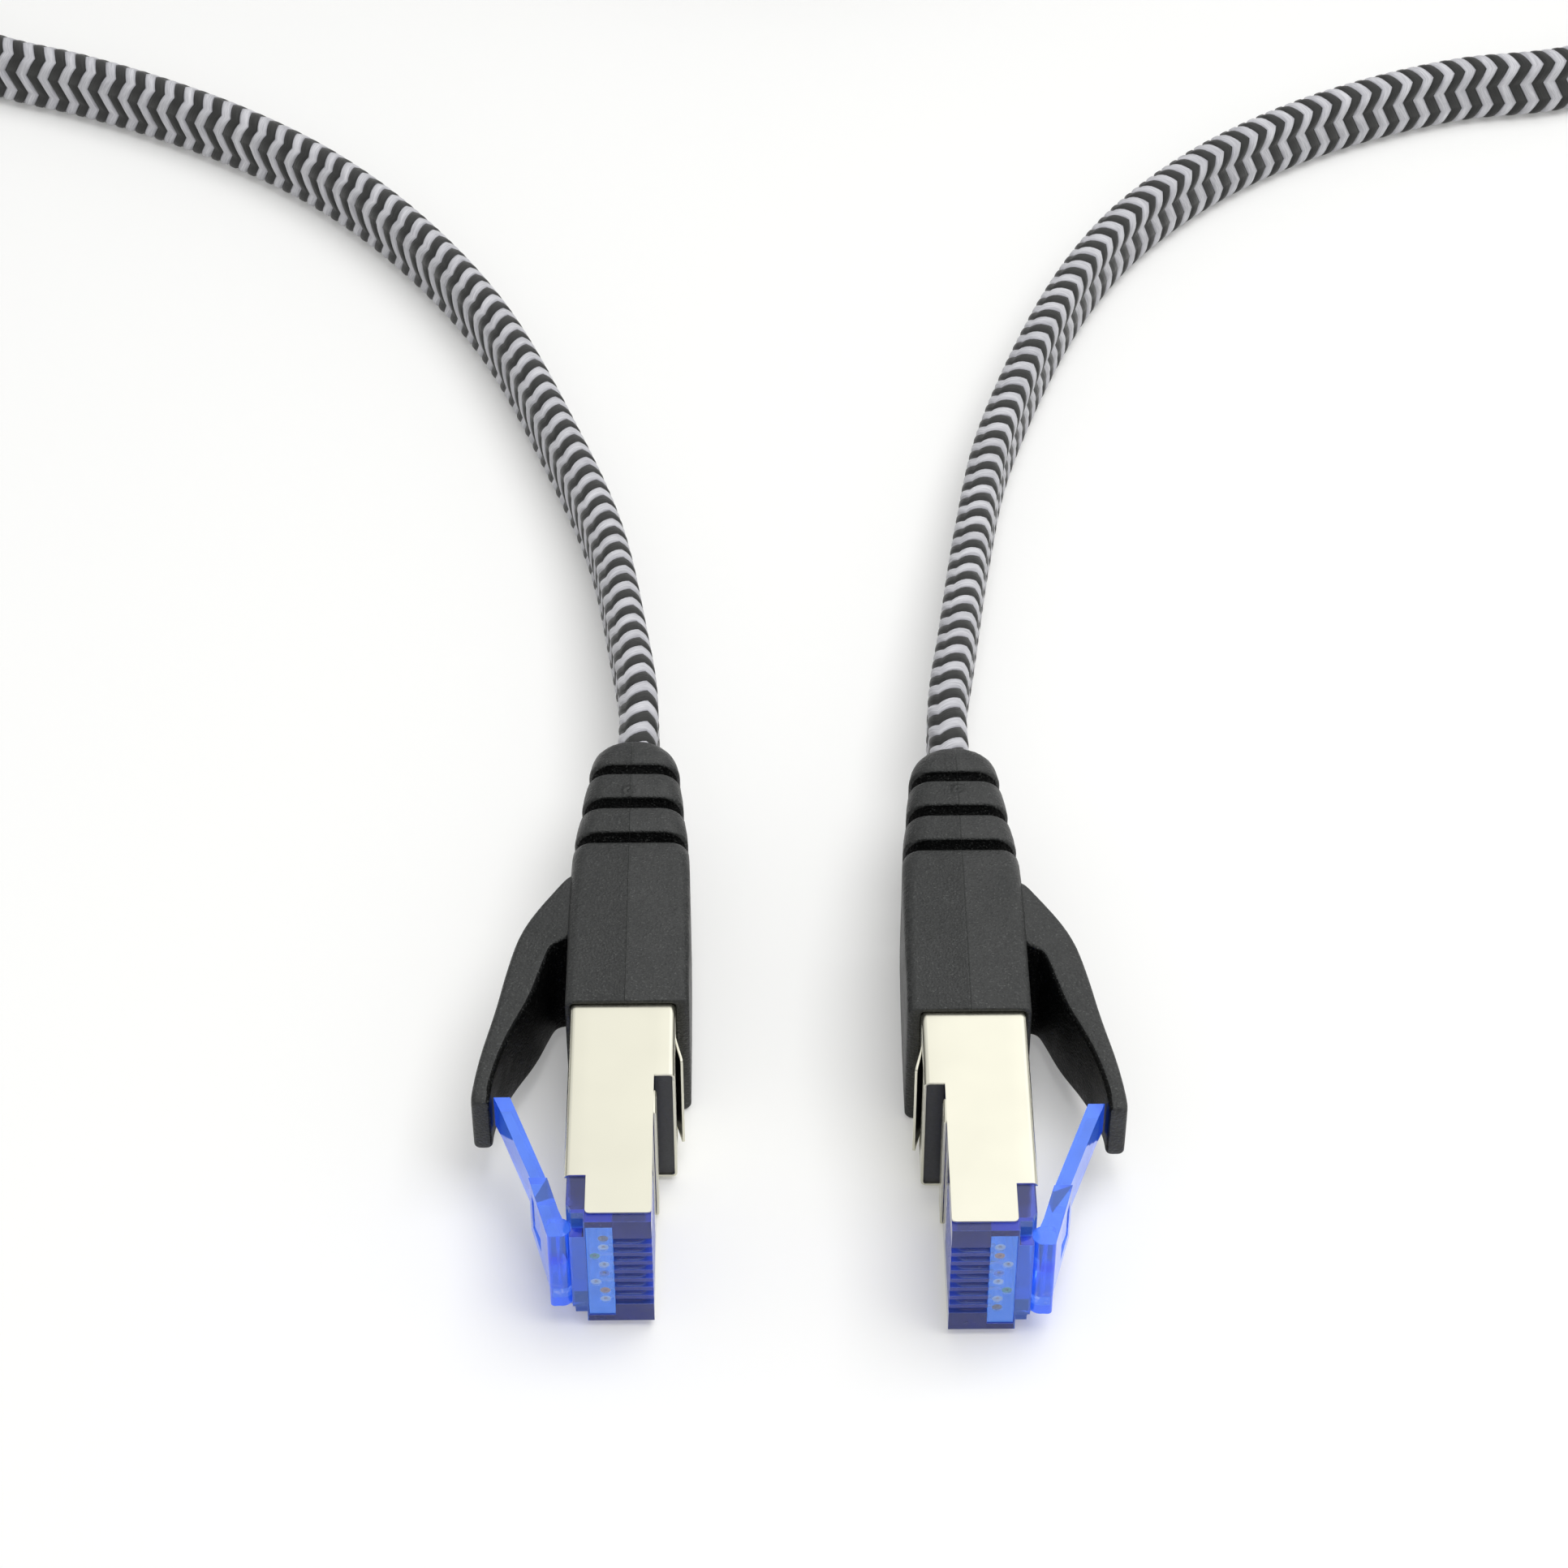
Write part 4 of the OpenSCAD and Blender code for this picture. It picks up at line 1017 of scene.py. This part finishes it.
# %% Boot skins
boot_points, boot_faces = loft([boot_outline(*station) for station in boot_stations])
grooves_back = [(g - GROOVE - 0.01, g + 0.01) for g in (ring_1, ring_2, collar_at)]
for side, sign in SIDES.items():
    boot = plug_mesh("boot_skin", side, boot_points, boot_faces, boot_rubber)
    nose_y = -HALF_LEN - sign * STAGGER
    # the grooves get the painted shade
    paint_shade(boot, lambda n, c: any(a < c.y / MM - nose_y < b for a, b in grooves_back))
    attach(boot, "cable")
    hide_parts(f"{side}_boot")
print("boot skin:", len(boot.data.polygons), "faces on each plug")

# %% [markdown]
# ## Latch guard: its shape
# The guard is an arm moulded in one with the boot. It leans out over the latch and bends at its root when it
# is pressed. Pairs of points on its outer and inner lines give its thickness, and its height tapers towards
# the tip. It could be an extruded outline, but the real arm has soft edges all round, so it is a loft too,
# whose rings stand square to the arm.

# %% Rings of the guard arm
ROOT_BACK, TIP_BACK, TIP_HALF, ROOT_HALF = 30.3, 14.6, 2.8, 5.0
ARM_HALF_MOST, ARM_EDGE_R, ARM_EDGE_SHARE = 5.6, 0.5, 0.7
arm_pairs = [
    ((6.3, 37.4), (6.3, 30.3)), ((6.9, 37.05), (6.9, 30.1)), ((7.4, 36.75), (7.3, 29.95)),
    ((8.12, 35.7), (7.7, 29.75)), ((8.81, 34.7), (8.0, 29.6)), ((9.49, 33.7), (8.25, 29.4)),
    ((10.11, 32.7), (8.45, 29.1)), ((10.64, 31.7), (8.6, 28.7)), ((11.06, 30.7), (8.75, 28.2)),
    ((11.39, 29.7), (8.9, 27.7)), ((11.87, 27.7), (9.15, 26.8)), ((12.28, 25.7), (9.45, 25.7)),
    ((12.62, 23.9), (10.05, 24.0)), ((13.1, 21.9), (11.05, 22.0)), ((13.62, 19.9), (11.85, 20.0)),
    ((13.98, 18.1), (12.4, 18.1)), ((14.2, 16.7), (12.68, 16.8)), ((14.33, 15.6), (12.8, 15.7)),
    ((14.34, 15.05), (12.8, 15.05)), ((14.28, 14.75), (12.86, 14.75)), ((14.1, 14.62), (13.0, 14.62)),
]


def arm_ring(outer, inner, shrink):
    o, i = np.array(outer), np.array(inner)
    middle, thick = (o + i) / 2, np.linalg.norm(o - i) / 2
    way = (o - i) / (2 * thick)
    half = TIP_HALF + (ROOT_HALF - TIP_HALF) * (middle[1] - TIP_BACK) / (ROOT_BACK - TIP_BACK) - shrink
    half = min(half, ARM_HALF_MOST)
    radius = min(ARM_EDGE_R, thick * ARM_EDGE_SHARE)
    flat_ring = [p for corner in range(4) for p in box_corner(corner, -thick, thick, half, radius, 5)]
    return [(middle[0] + way[0] * d, middle[1] + way[1] * d, z) for d, z in flat_ring]


shrinks = [0.0] * (len(arm_pairs) - 2) + [0.1, 0.3]
arm_rings = [arm_ring(outer, inner, shrink) for (outer, inner), shrink in zip(arm_pairs, shrinks)]
print("guard arm:", len(arm_rings), "rings of", len(arm_rings[0]), "points")

# %% [markdown]
# ## Latch guard: its mesh
# The loft is subdivided twice, so that its edges are soft. Its inner face, which looks at the latch, gets the
# painted shade. Its rings run clockwise on their way to the tip, so the faces of the loft are turned over.

# %% Guard arms
INWARD = -0.35
arm_points, arm_faces = loft(arm_rings)
for side, sign in SIDES.items():
    arm = plug_mesh("guard_arm", side, arm_points, flipped(arm_faces), boot_rubber)
    fine = arm.modifiers.new("fine", "SUBSURF")
    fine.levels = fine.render_levels = 2
    apply_modifiers(arm)
    smooth(arm)
    # the faces turned towards the latch get the painted shade
    paint_shade(arm, lambda n, c: n.x * sign < INWARD)
    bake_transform(arm)
    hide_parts(f"{side}_latch_guard")
print("guard arm:", len(arm.data.polygons), "faces")

# %% [markdown]
# ## Shell: the wrapped sheet
# The shield is one piece of thin nickelled sheet, folded round the housing. It is drawn as a flat pattern on
# a grid, whose lines are the folds and the edges of the cut-outs, and the grid is wrapped round the plug. A
# function says which fields of the grid are kept, which is how a stamped blank is described too.

# %% Folded sheet
SHEET, FOLD = 0.2, 0.45
SHELL_OUT, LATCH_OUT, DEEP, STEP_ACROSS = 6.06, 6.66, 1.6, 5.0
PLATE_BACK, BODY_BACK, LATCH_BACK, REAR_BACK, SLIT_BACK, SHELL_END = 0.73, 4.43, 9.0, 14.55, 16.7, 25.0
FINGER_HALF, FINGER_ROOT, FINGER_TIP, FINGER_LIFT = 4.9, 19.9, 17.0, 0.6
SLIT_EDGE = FINGER_HALF + 0.3
top = SHELL_OUT - FOLD
upper = (
    [(-DEEP, SLIT_EDGE)] + arc(-DEEP + FOLD, top, 180, -90, FOLD, 4)
    + [(0.0, SHELL_OUT), (STEP_ACROSS, SHELL_OUT)] + arc(LATCH_OUT - FOLD, top, 90, -90, FOLD, 4)
)
wrap = [(-DEEP, 0.0)] + upper + [(x, -z) for x, z in reversed(upper)]
backs = [PLATE_BACK, BODY_BACK, LATCH_BACK, REAR_BACK, SLIT_BACK, FINGER_ROOT, SHELL_END]


def kept(x_mid, z_mid, back_mid):
    """Whether the sheet is there, at the middle of a field of the grid."""
    below_folds = abs(z_mid) < top
    if x_mid > LATCH_OUT - 0.2 and below_folds:
        return back_mid > LATCH_BACK
    if x_mid < -DEEP + 0.1 and below_folds:
        in_slit = abs(z_mid) < SLIT_EDGE and SLIT_BACK < back_mid < FINGER_ROOT
        return back_mid > REAR_BACK and not in_slit
    if x_mid < 0.0:
        return back_mid > REAR_BACK
    on_plate = abs(z_mid) > SHELL_OUT - 0.3 and x_mid < STEP_ACROSS
    return on_plate or back_mid > BODY_BACK


sheet_points = [(x, b, z) for b in backs for x, z in wrap]
sheet_faces = []
for strip, (b0, b1) in enumerate(zip(backs, backs[1:])):
    for k in range(len(wrap)):
        after = (k + 1) % len(wrap)
        (x0, z0), (x1, z1) = wrap[k], wrap[after]
        if kept((x0 + x1) / 2, (z0 + z1) / 2, (b0 + b1) / 2):
            a, b = strip * len(wrap), (strip + 1) * len(wrap)
            sheet_faces.append((a + k, a + after, b + after, b + k))
print("sheet:", len(sheet_faces), "fields of", (len(backs) - 1) * len(wrap))


# %% [markdown]
# ## Shell: band and ground finger
# On the contact side a narrow band joins the two plates, and behind it a tongue is cut free and bent out, to
# touch the earth of the socket. Both are strips that are added to the same sheet, so they get its thickness.

# %% Band and ground finger
BAND = (10.6, 12.9)
BAND_OUT = 0.22


def add_strip(sections):
    """Faces between rows of points, added to the shell's own."""
    base, width = len(sheet_points), len(sections[0])
    for row_of_points in sections:
        sheet_points.extend(row_of_points)
    for i in range(len(sections) - 1):
        for j in range(width - 1):
            a = base + i * width + j
            sheet_faces.append((a, a + 1, a + width + 1, a + width))


bend = arc(0.0, SHELL_OUT - BAND_OUT, 180, -90, BAND_OUT, 4)
band_line = [(x, -z) for x, z in reversed(bend)] + bend
add_strip([[(x, back, z) for x, z in band_line] for back in BAND])
finger_line = [(FINGER_TIP, FINGER_LIFT), (FINGER_ROOT - 2.0, 0.38), (FINGER_ROOT - 1.1, 0.16),
               (FINGER_ROOT - 0.5, 0.03), (FINGER_ROOT, 0.0), (FINGER_ROOT + 0.6, 0.0)]
finger_across = (-FINGER_HALF, 0.0, FINGER_HALF)
add_strip([[(-DEEP - lift, back, z) for z in finger_across] for back, lift in finger_line])
print("sheet with band and finger:", len(sheet_faces), "fields")

# %% [markdown]
# ## Shell: thickness
# A real cut-out has rounded corners, since the punch has. So the free corners are rounded first, then the
# sheet gets its thickness, and at last every edge a tiny bevel, where the plating catches the light.

# %% Shells
CORNER_R = 0.35
for side in SIDES:
    shell = plug_mesh("folded_shell", side, sheet_points, sheet_faces, nickel)
    bm = bmesh.new()
    bm.from_mesh(shell.data)
    bmesh.ops.delete(bm, geom=[v for v in bm.verts if not v.link_faces], context="VERTS")
    corners = [v for v in bm.verts if len(v.link_faces) == 1]
    bmesh.ops.bevel(bm, geom=corners, offset=CORNER_R * MM, segments=4, affect="VERTICES", profile=0.5)
    bm.to_mesh(shell.data)
    bm.free()
    thick = shell.modifiers.new("thick", "SOLIDIFY")
    thick.thickness = SHEET * MM
    thick.offset = -1.0
    round_edges(shell, 0.04, 2, 40)
    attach(shell, "cable")
    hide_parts(f"{side}_shield")
print("shell:", len(shell.data.polygons), "faces, box", [round(x / MM, 2) for x in shell.dimensions])

# %% [markdown]
# ## Pieces that keep their shape
# Housing, latch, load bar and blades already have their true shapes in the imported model. Their edges only
# need the small rounding that every moulded or stamped edge has, because that is what catches the light.
# Several finishes can share one piece: the first is the body's, the second goes on the rounded edges, and a
# function picks the others by where a face lies.

# %% Copies with rounded edges
BODY, EDGE, THIN, SLOT = range(4)
MERGE_MM, FLAT_WITHIN = 0.0005, 1.0


def body_only(normal, across, up, y):
    return BODY


def finish_faces(obj, finishes, finish_of):
    """Puts the finishes on a mesh, where finish_of(normal, across, up, y) gives each face's number."""
    obj.data.materials.clear()
    for finish in finishes:
        obj.data.materials.append(finish)
    for polygon in obj.data.polygons:
        centre = polygon.center / MM
        polygon.material_index = finish_of(polygon.normal, abs(centre.x) - FACE_X, centre.z - MID, centre.y)


def softened(node_name, finishes, width_mm, body="cable", segments=2, extra=None, cuts=(),
             finish_of=body_only):
    """The node's own shape with rounded edges.

    It is joined first with the solid `extra`, if there is one, and its faces are split at the planes in
    `cuts`, each a place in millimetres and a normal, so that a finish can end there.
    """
    obj = bpy.data.objects.new(node_name + "_finished", nodes[node_name].data.copy())
    scene.collection.objects.link(obj)
    if extra:
        union = obj.modifiers.new("union", "BOOLEAN")
        union.operation, union.solver, union.object = "UNION", "EXACT", extra
        apply_modifiers(obj)
        bpy.data.objects.remove(extra)
    bm = bmesh.new()
    bm.from_mesh(obj.data)
    bmesh.ops.remove_doubles(bm, verts=bm.verts, dist=MERGE_MM * MM)
    bmesh.ops.dissolve_limit(bm, angle_limit=math.radians(FLAT_WITHIN), verts=bm.verts, edges=bm.edges)
    for place_mm, normal in cuts:
        bmesh.ops.bisect_plane(bm, geom=bm.verts[:] + bm.edges[:] + bm.faces[:],
                               plane_co=Vector(place_mm) * MM, plane_no=normal)
    bm.to_mesh(obj.data)
    bm.free()
    finish_faces(obj, finishes, finish_of)
    smooth(obj)
    round_edges(obj, width_mm, segments, edge_slot=min(EDGE, len(finishes) - 1))
    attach(obj, body)
    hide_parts(node_name)
    print(obj.name, "has", len(obj.data.polygons), "faces")


# %% [markdown]
# ## Root of the latch and skin of the load bar
# The latch thickens where it grows out of the housing, and the load bar has a clear skin in front of its wire
# holes. Both are short solids with an outline seen from above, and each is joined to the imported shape.

# %% Solids to be joined
HINGE_ACROSS, HINGE_BACK, ROOT_R, ROOT_EDGE_R = 7.0, 0.95, 0.9, 0.35
ROOT_FOOT, ROOT_TAPER, ROOT_UP, BAR_UP = HINGE_ACROSS - 0.3, 0.06, 4.12, 5.13


def prism(side, outline, half):
    """A solid with an outline in (across, back), `half` to either side of the plug's middle."""
    points, faces = loft([[(x, b, z) for x, b in outline] for z in (-half, half)])
    faces = flipped(faces) if side == "right" else faces
    return mesh_object("extra", on_plug(side, points), faces)


arc_at = ROOT_R - ROOT_EDGE_R
root_outline = (
    [(ROOT_FOOT, HINGE_BACK - ROOT_R + ROOT_TAPER)]
    + arc(HINGE_ACROSS + arc_at, HINGE_BACK - arc_at, -90, 90, ROOT_EDGE_R, 4)
    + arc(HINGE_ACROSS + arc_at, HINGE_BACK + arc_at, 0, 90, ROOT_EDGE_R, 4)
    + [(ROOT_FOOT, HINGE_BACK + ROOT_R - ROOT_TAPER)]
)
bar_skin = [(2.98, 0.12), (4.93, 0.12), (4.93, 0.36), (2.98, 0.36)]
print("root block:", 2 * ROOT_UP, "mm high, skin of the bar:", 2 * BAR_UP, "mm")

# %% [markdown]
# ## Finished housing, latch, load bar and contacts
# The housing's wall in front of the latch and the thin walls between the contact slots are lighter than its
# body. The load bar is clear on its front alone, so that the wires show through it.

# %% Finish the plugs' moulded and stamped pieces
THIN_ACROSS, THIN_END_Y = 5.0, -23.8
SLOT_DEPTH, SLOTS_HALF, SLOTS_END_Y = 2.9, 4.2, -19.5
BAR_FRONT_Y = -26.05


def housing_part(normal, across, up, y):
    if across > THIN_ACROSS and y < THIN_END_Y and abs(normal.z) < 0.5:
        return THIN
    in_slots = across < SLOT_DEPTH and abs(up) < SLOTS_HALF and y < SLOTS_END_Y
    return SLOT if in_slots and abs(normal.z) > 0.9 else BODY


def bar_part(normal, across, up, y):
    return THIN if y < BAR_FRONT_Y and abs(normal.y) > 0.9 else BODY


for side, sign in SIDES.items():
    softened(f"{side}_housing", (clear_blue, edge_highlight_blue, thin_blue, slot_blue), 0.09,
             cuts=(((sign * (FACE_X + THIN_ACROSS), 0, 0), (1, 0, 0)), ((0, THIN_END_Y, 0), (0, 1, 0))),
             finish_of=housing_part)
    softened(f"{side}_latch_lever", (latch_blue,), 0.12, f"{side}_latch",
             extra=prism(side, root_outline, ROOT_UP))
    softened(f"{side}_load_bar", (frosted, frosted_edge_highlight, bar_front), 0.08,
             extra=prism(side, bar_skin, BAR_UP), finish_of=bar_part)
    softened(f"{side}_contacts", (gold,), 0.02, segments=1)

# %% [markdown]
# ## Inner pieces
# What lies under the shell and in the boot keeps the plain shape of the frame. Only the wires are seen,
# dimly, through the nose, so each piece gets its finish and nothing else.

# %% Finish for the inner nodes
inner_finishes = {"copper_cores": copper, "pair_foils": foil, "drain_wire": tin, "crimp_ferrule": tin,
                  "inner_mould": black_mould, "cable_end": boot_rubber}
inner_finishes.update({f"{key}_pair": finish for key, finish in wires.items()})
for side in SIDES:
    for name, finish in inner_finishes.items():
        inner = nodes[f"{side}_{name}"]
        inner.data.materials.clear()
        inner.data.materials.append(finish)

# %% [markdown]
# ## Tie round the coil: its material
# A strip of hook-and-loop tape holds the spare turns together. Its napped face is a very fine noise, with a
# coarser one for the tufts that handling pulls up, and a sheen for the light that the loose fibres catch.

# %% Napped tape
tape, tree, shader = new_material("napped_black_tape", Roughness=0.85, Sheen_Weight=0.5)
at = surface_place(tree)
nap, tufts = noise(tree, at, 5200.0, 3.0, 0.7), noise(tree, at, 900.0)
pile = math_node(tree, "MULTIPLY_ADD", tufts, 0.4, math_node(tree, "MULTIPLY", nap, 0.6))
napped = mix_colours(tree, pile, (0.006, 0.006, 0.007), (0.050, 0.050, 0.052))
tree.links.new(napped, shader.inputs["Base Color"])
bump(tree, shader, pile, 0.25)
print(tape.name, "with", len(tree.nodes), "nodes")

# %% [markdown]
# ## Tie round the coil: its way
# It is one strip wound once round the bundle, and its end lies over its start. So the path is a rounded box
# whose last part runs one thickness further out, and at each place it keeps the outward direction as well.

# %% Way of the tape
TAPE_W, TAPE_T, TAPE_BEND = 11.0, 0.7, 1.7
inner_r, outer_r = COIL_R - TURN_STEP * 1.1 - CORD_T / 2 - 0.1, COIL_R + CORD_T / 2 - 0.2
high = LAYER_RISE + CORD_W + 0.1
OVERLAP = ((3.0, 0.15), (5.5, 0.8), (high - TAPE_BEND - 1.0, 0.8))
bends = ((outer_r - TAPE_BEND, high - TAPE_BEND), (inner_r + TAPE_BEND, high - TAPE_BEND),
         (inner_r + TAPE_BEND, TAPE_BEND), (outer_r - TAPE_BEND, TAPE_BEND))
tape_way = [(outer_r, 4.5, 1.0, 0.0, 0.0)]
for quarter, (cx, cz) in enumerate(bends):
    for k in range(7):
        a = math.radians(90 * quarter + 15 * k)
        outward = (math.cos(a), math.sin(a))
        tape_way.append((cx + TAPE_BEND * outward[0], cz + TAPE_BEND * outward[1], *outward, 0.0))
tape_way += [(outer_r, up, 1.0, 0.0, lift) for up, lift in OVERLAP]
print("tape:", len(tape_way), "places round a bundle", round(high, 1), "mm high")

# %% [markdown]
# ## Tie round the coil: its mesh
# The tape's section is a flat box with broken edges, and it is lofted along its way. It belongs to the
# cable's body and stands for no node of the frame.

# %% Tape wound round the bundle
TAPE_SECTION = ((-0.5, 0.2), (-0.5, 0.8), (-0.47, 1.0), (0.47, 1.0),
                (0.5, 0.8), (0.5, 0.2), (0.47, 0.0), (-0.47, 0.0))
rings = []
for out_at, up, out_x, out_z, lift in tape_way:
    ring = []
    for along_tape, through in TAPE_SECTION:
        depth = through * TAPE_T + lift
        ring.append((along_tape * TAPE_W, COIL_MID[1] + out_at + out_x * depth, max(up + out_z * depth, 0.0)))
    rings.append(ring)
tie = mesh_object("coil_tie", *loft(rings))
tie.data.materials.append(tape)
round_edges(tie, 0.08, 2, 50)
smooth(tie)
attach(tie, "cable")
print("tie round the coil:", [round(x / MM, 1) for x in tie.dimensions], "mm")
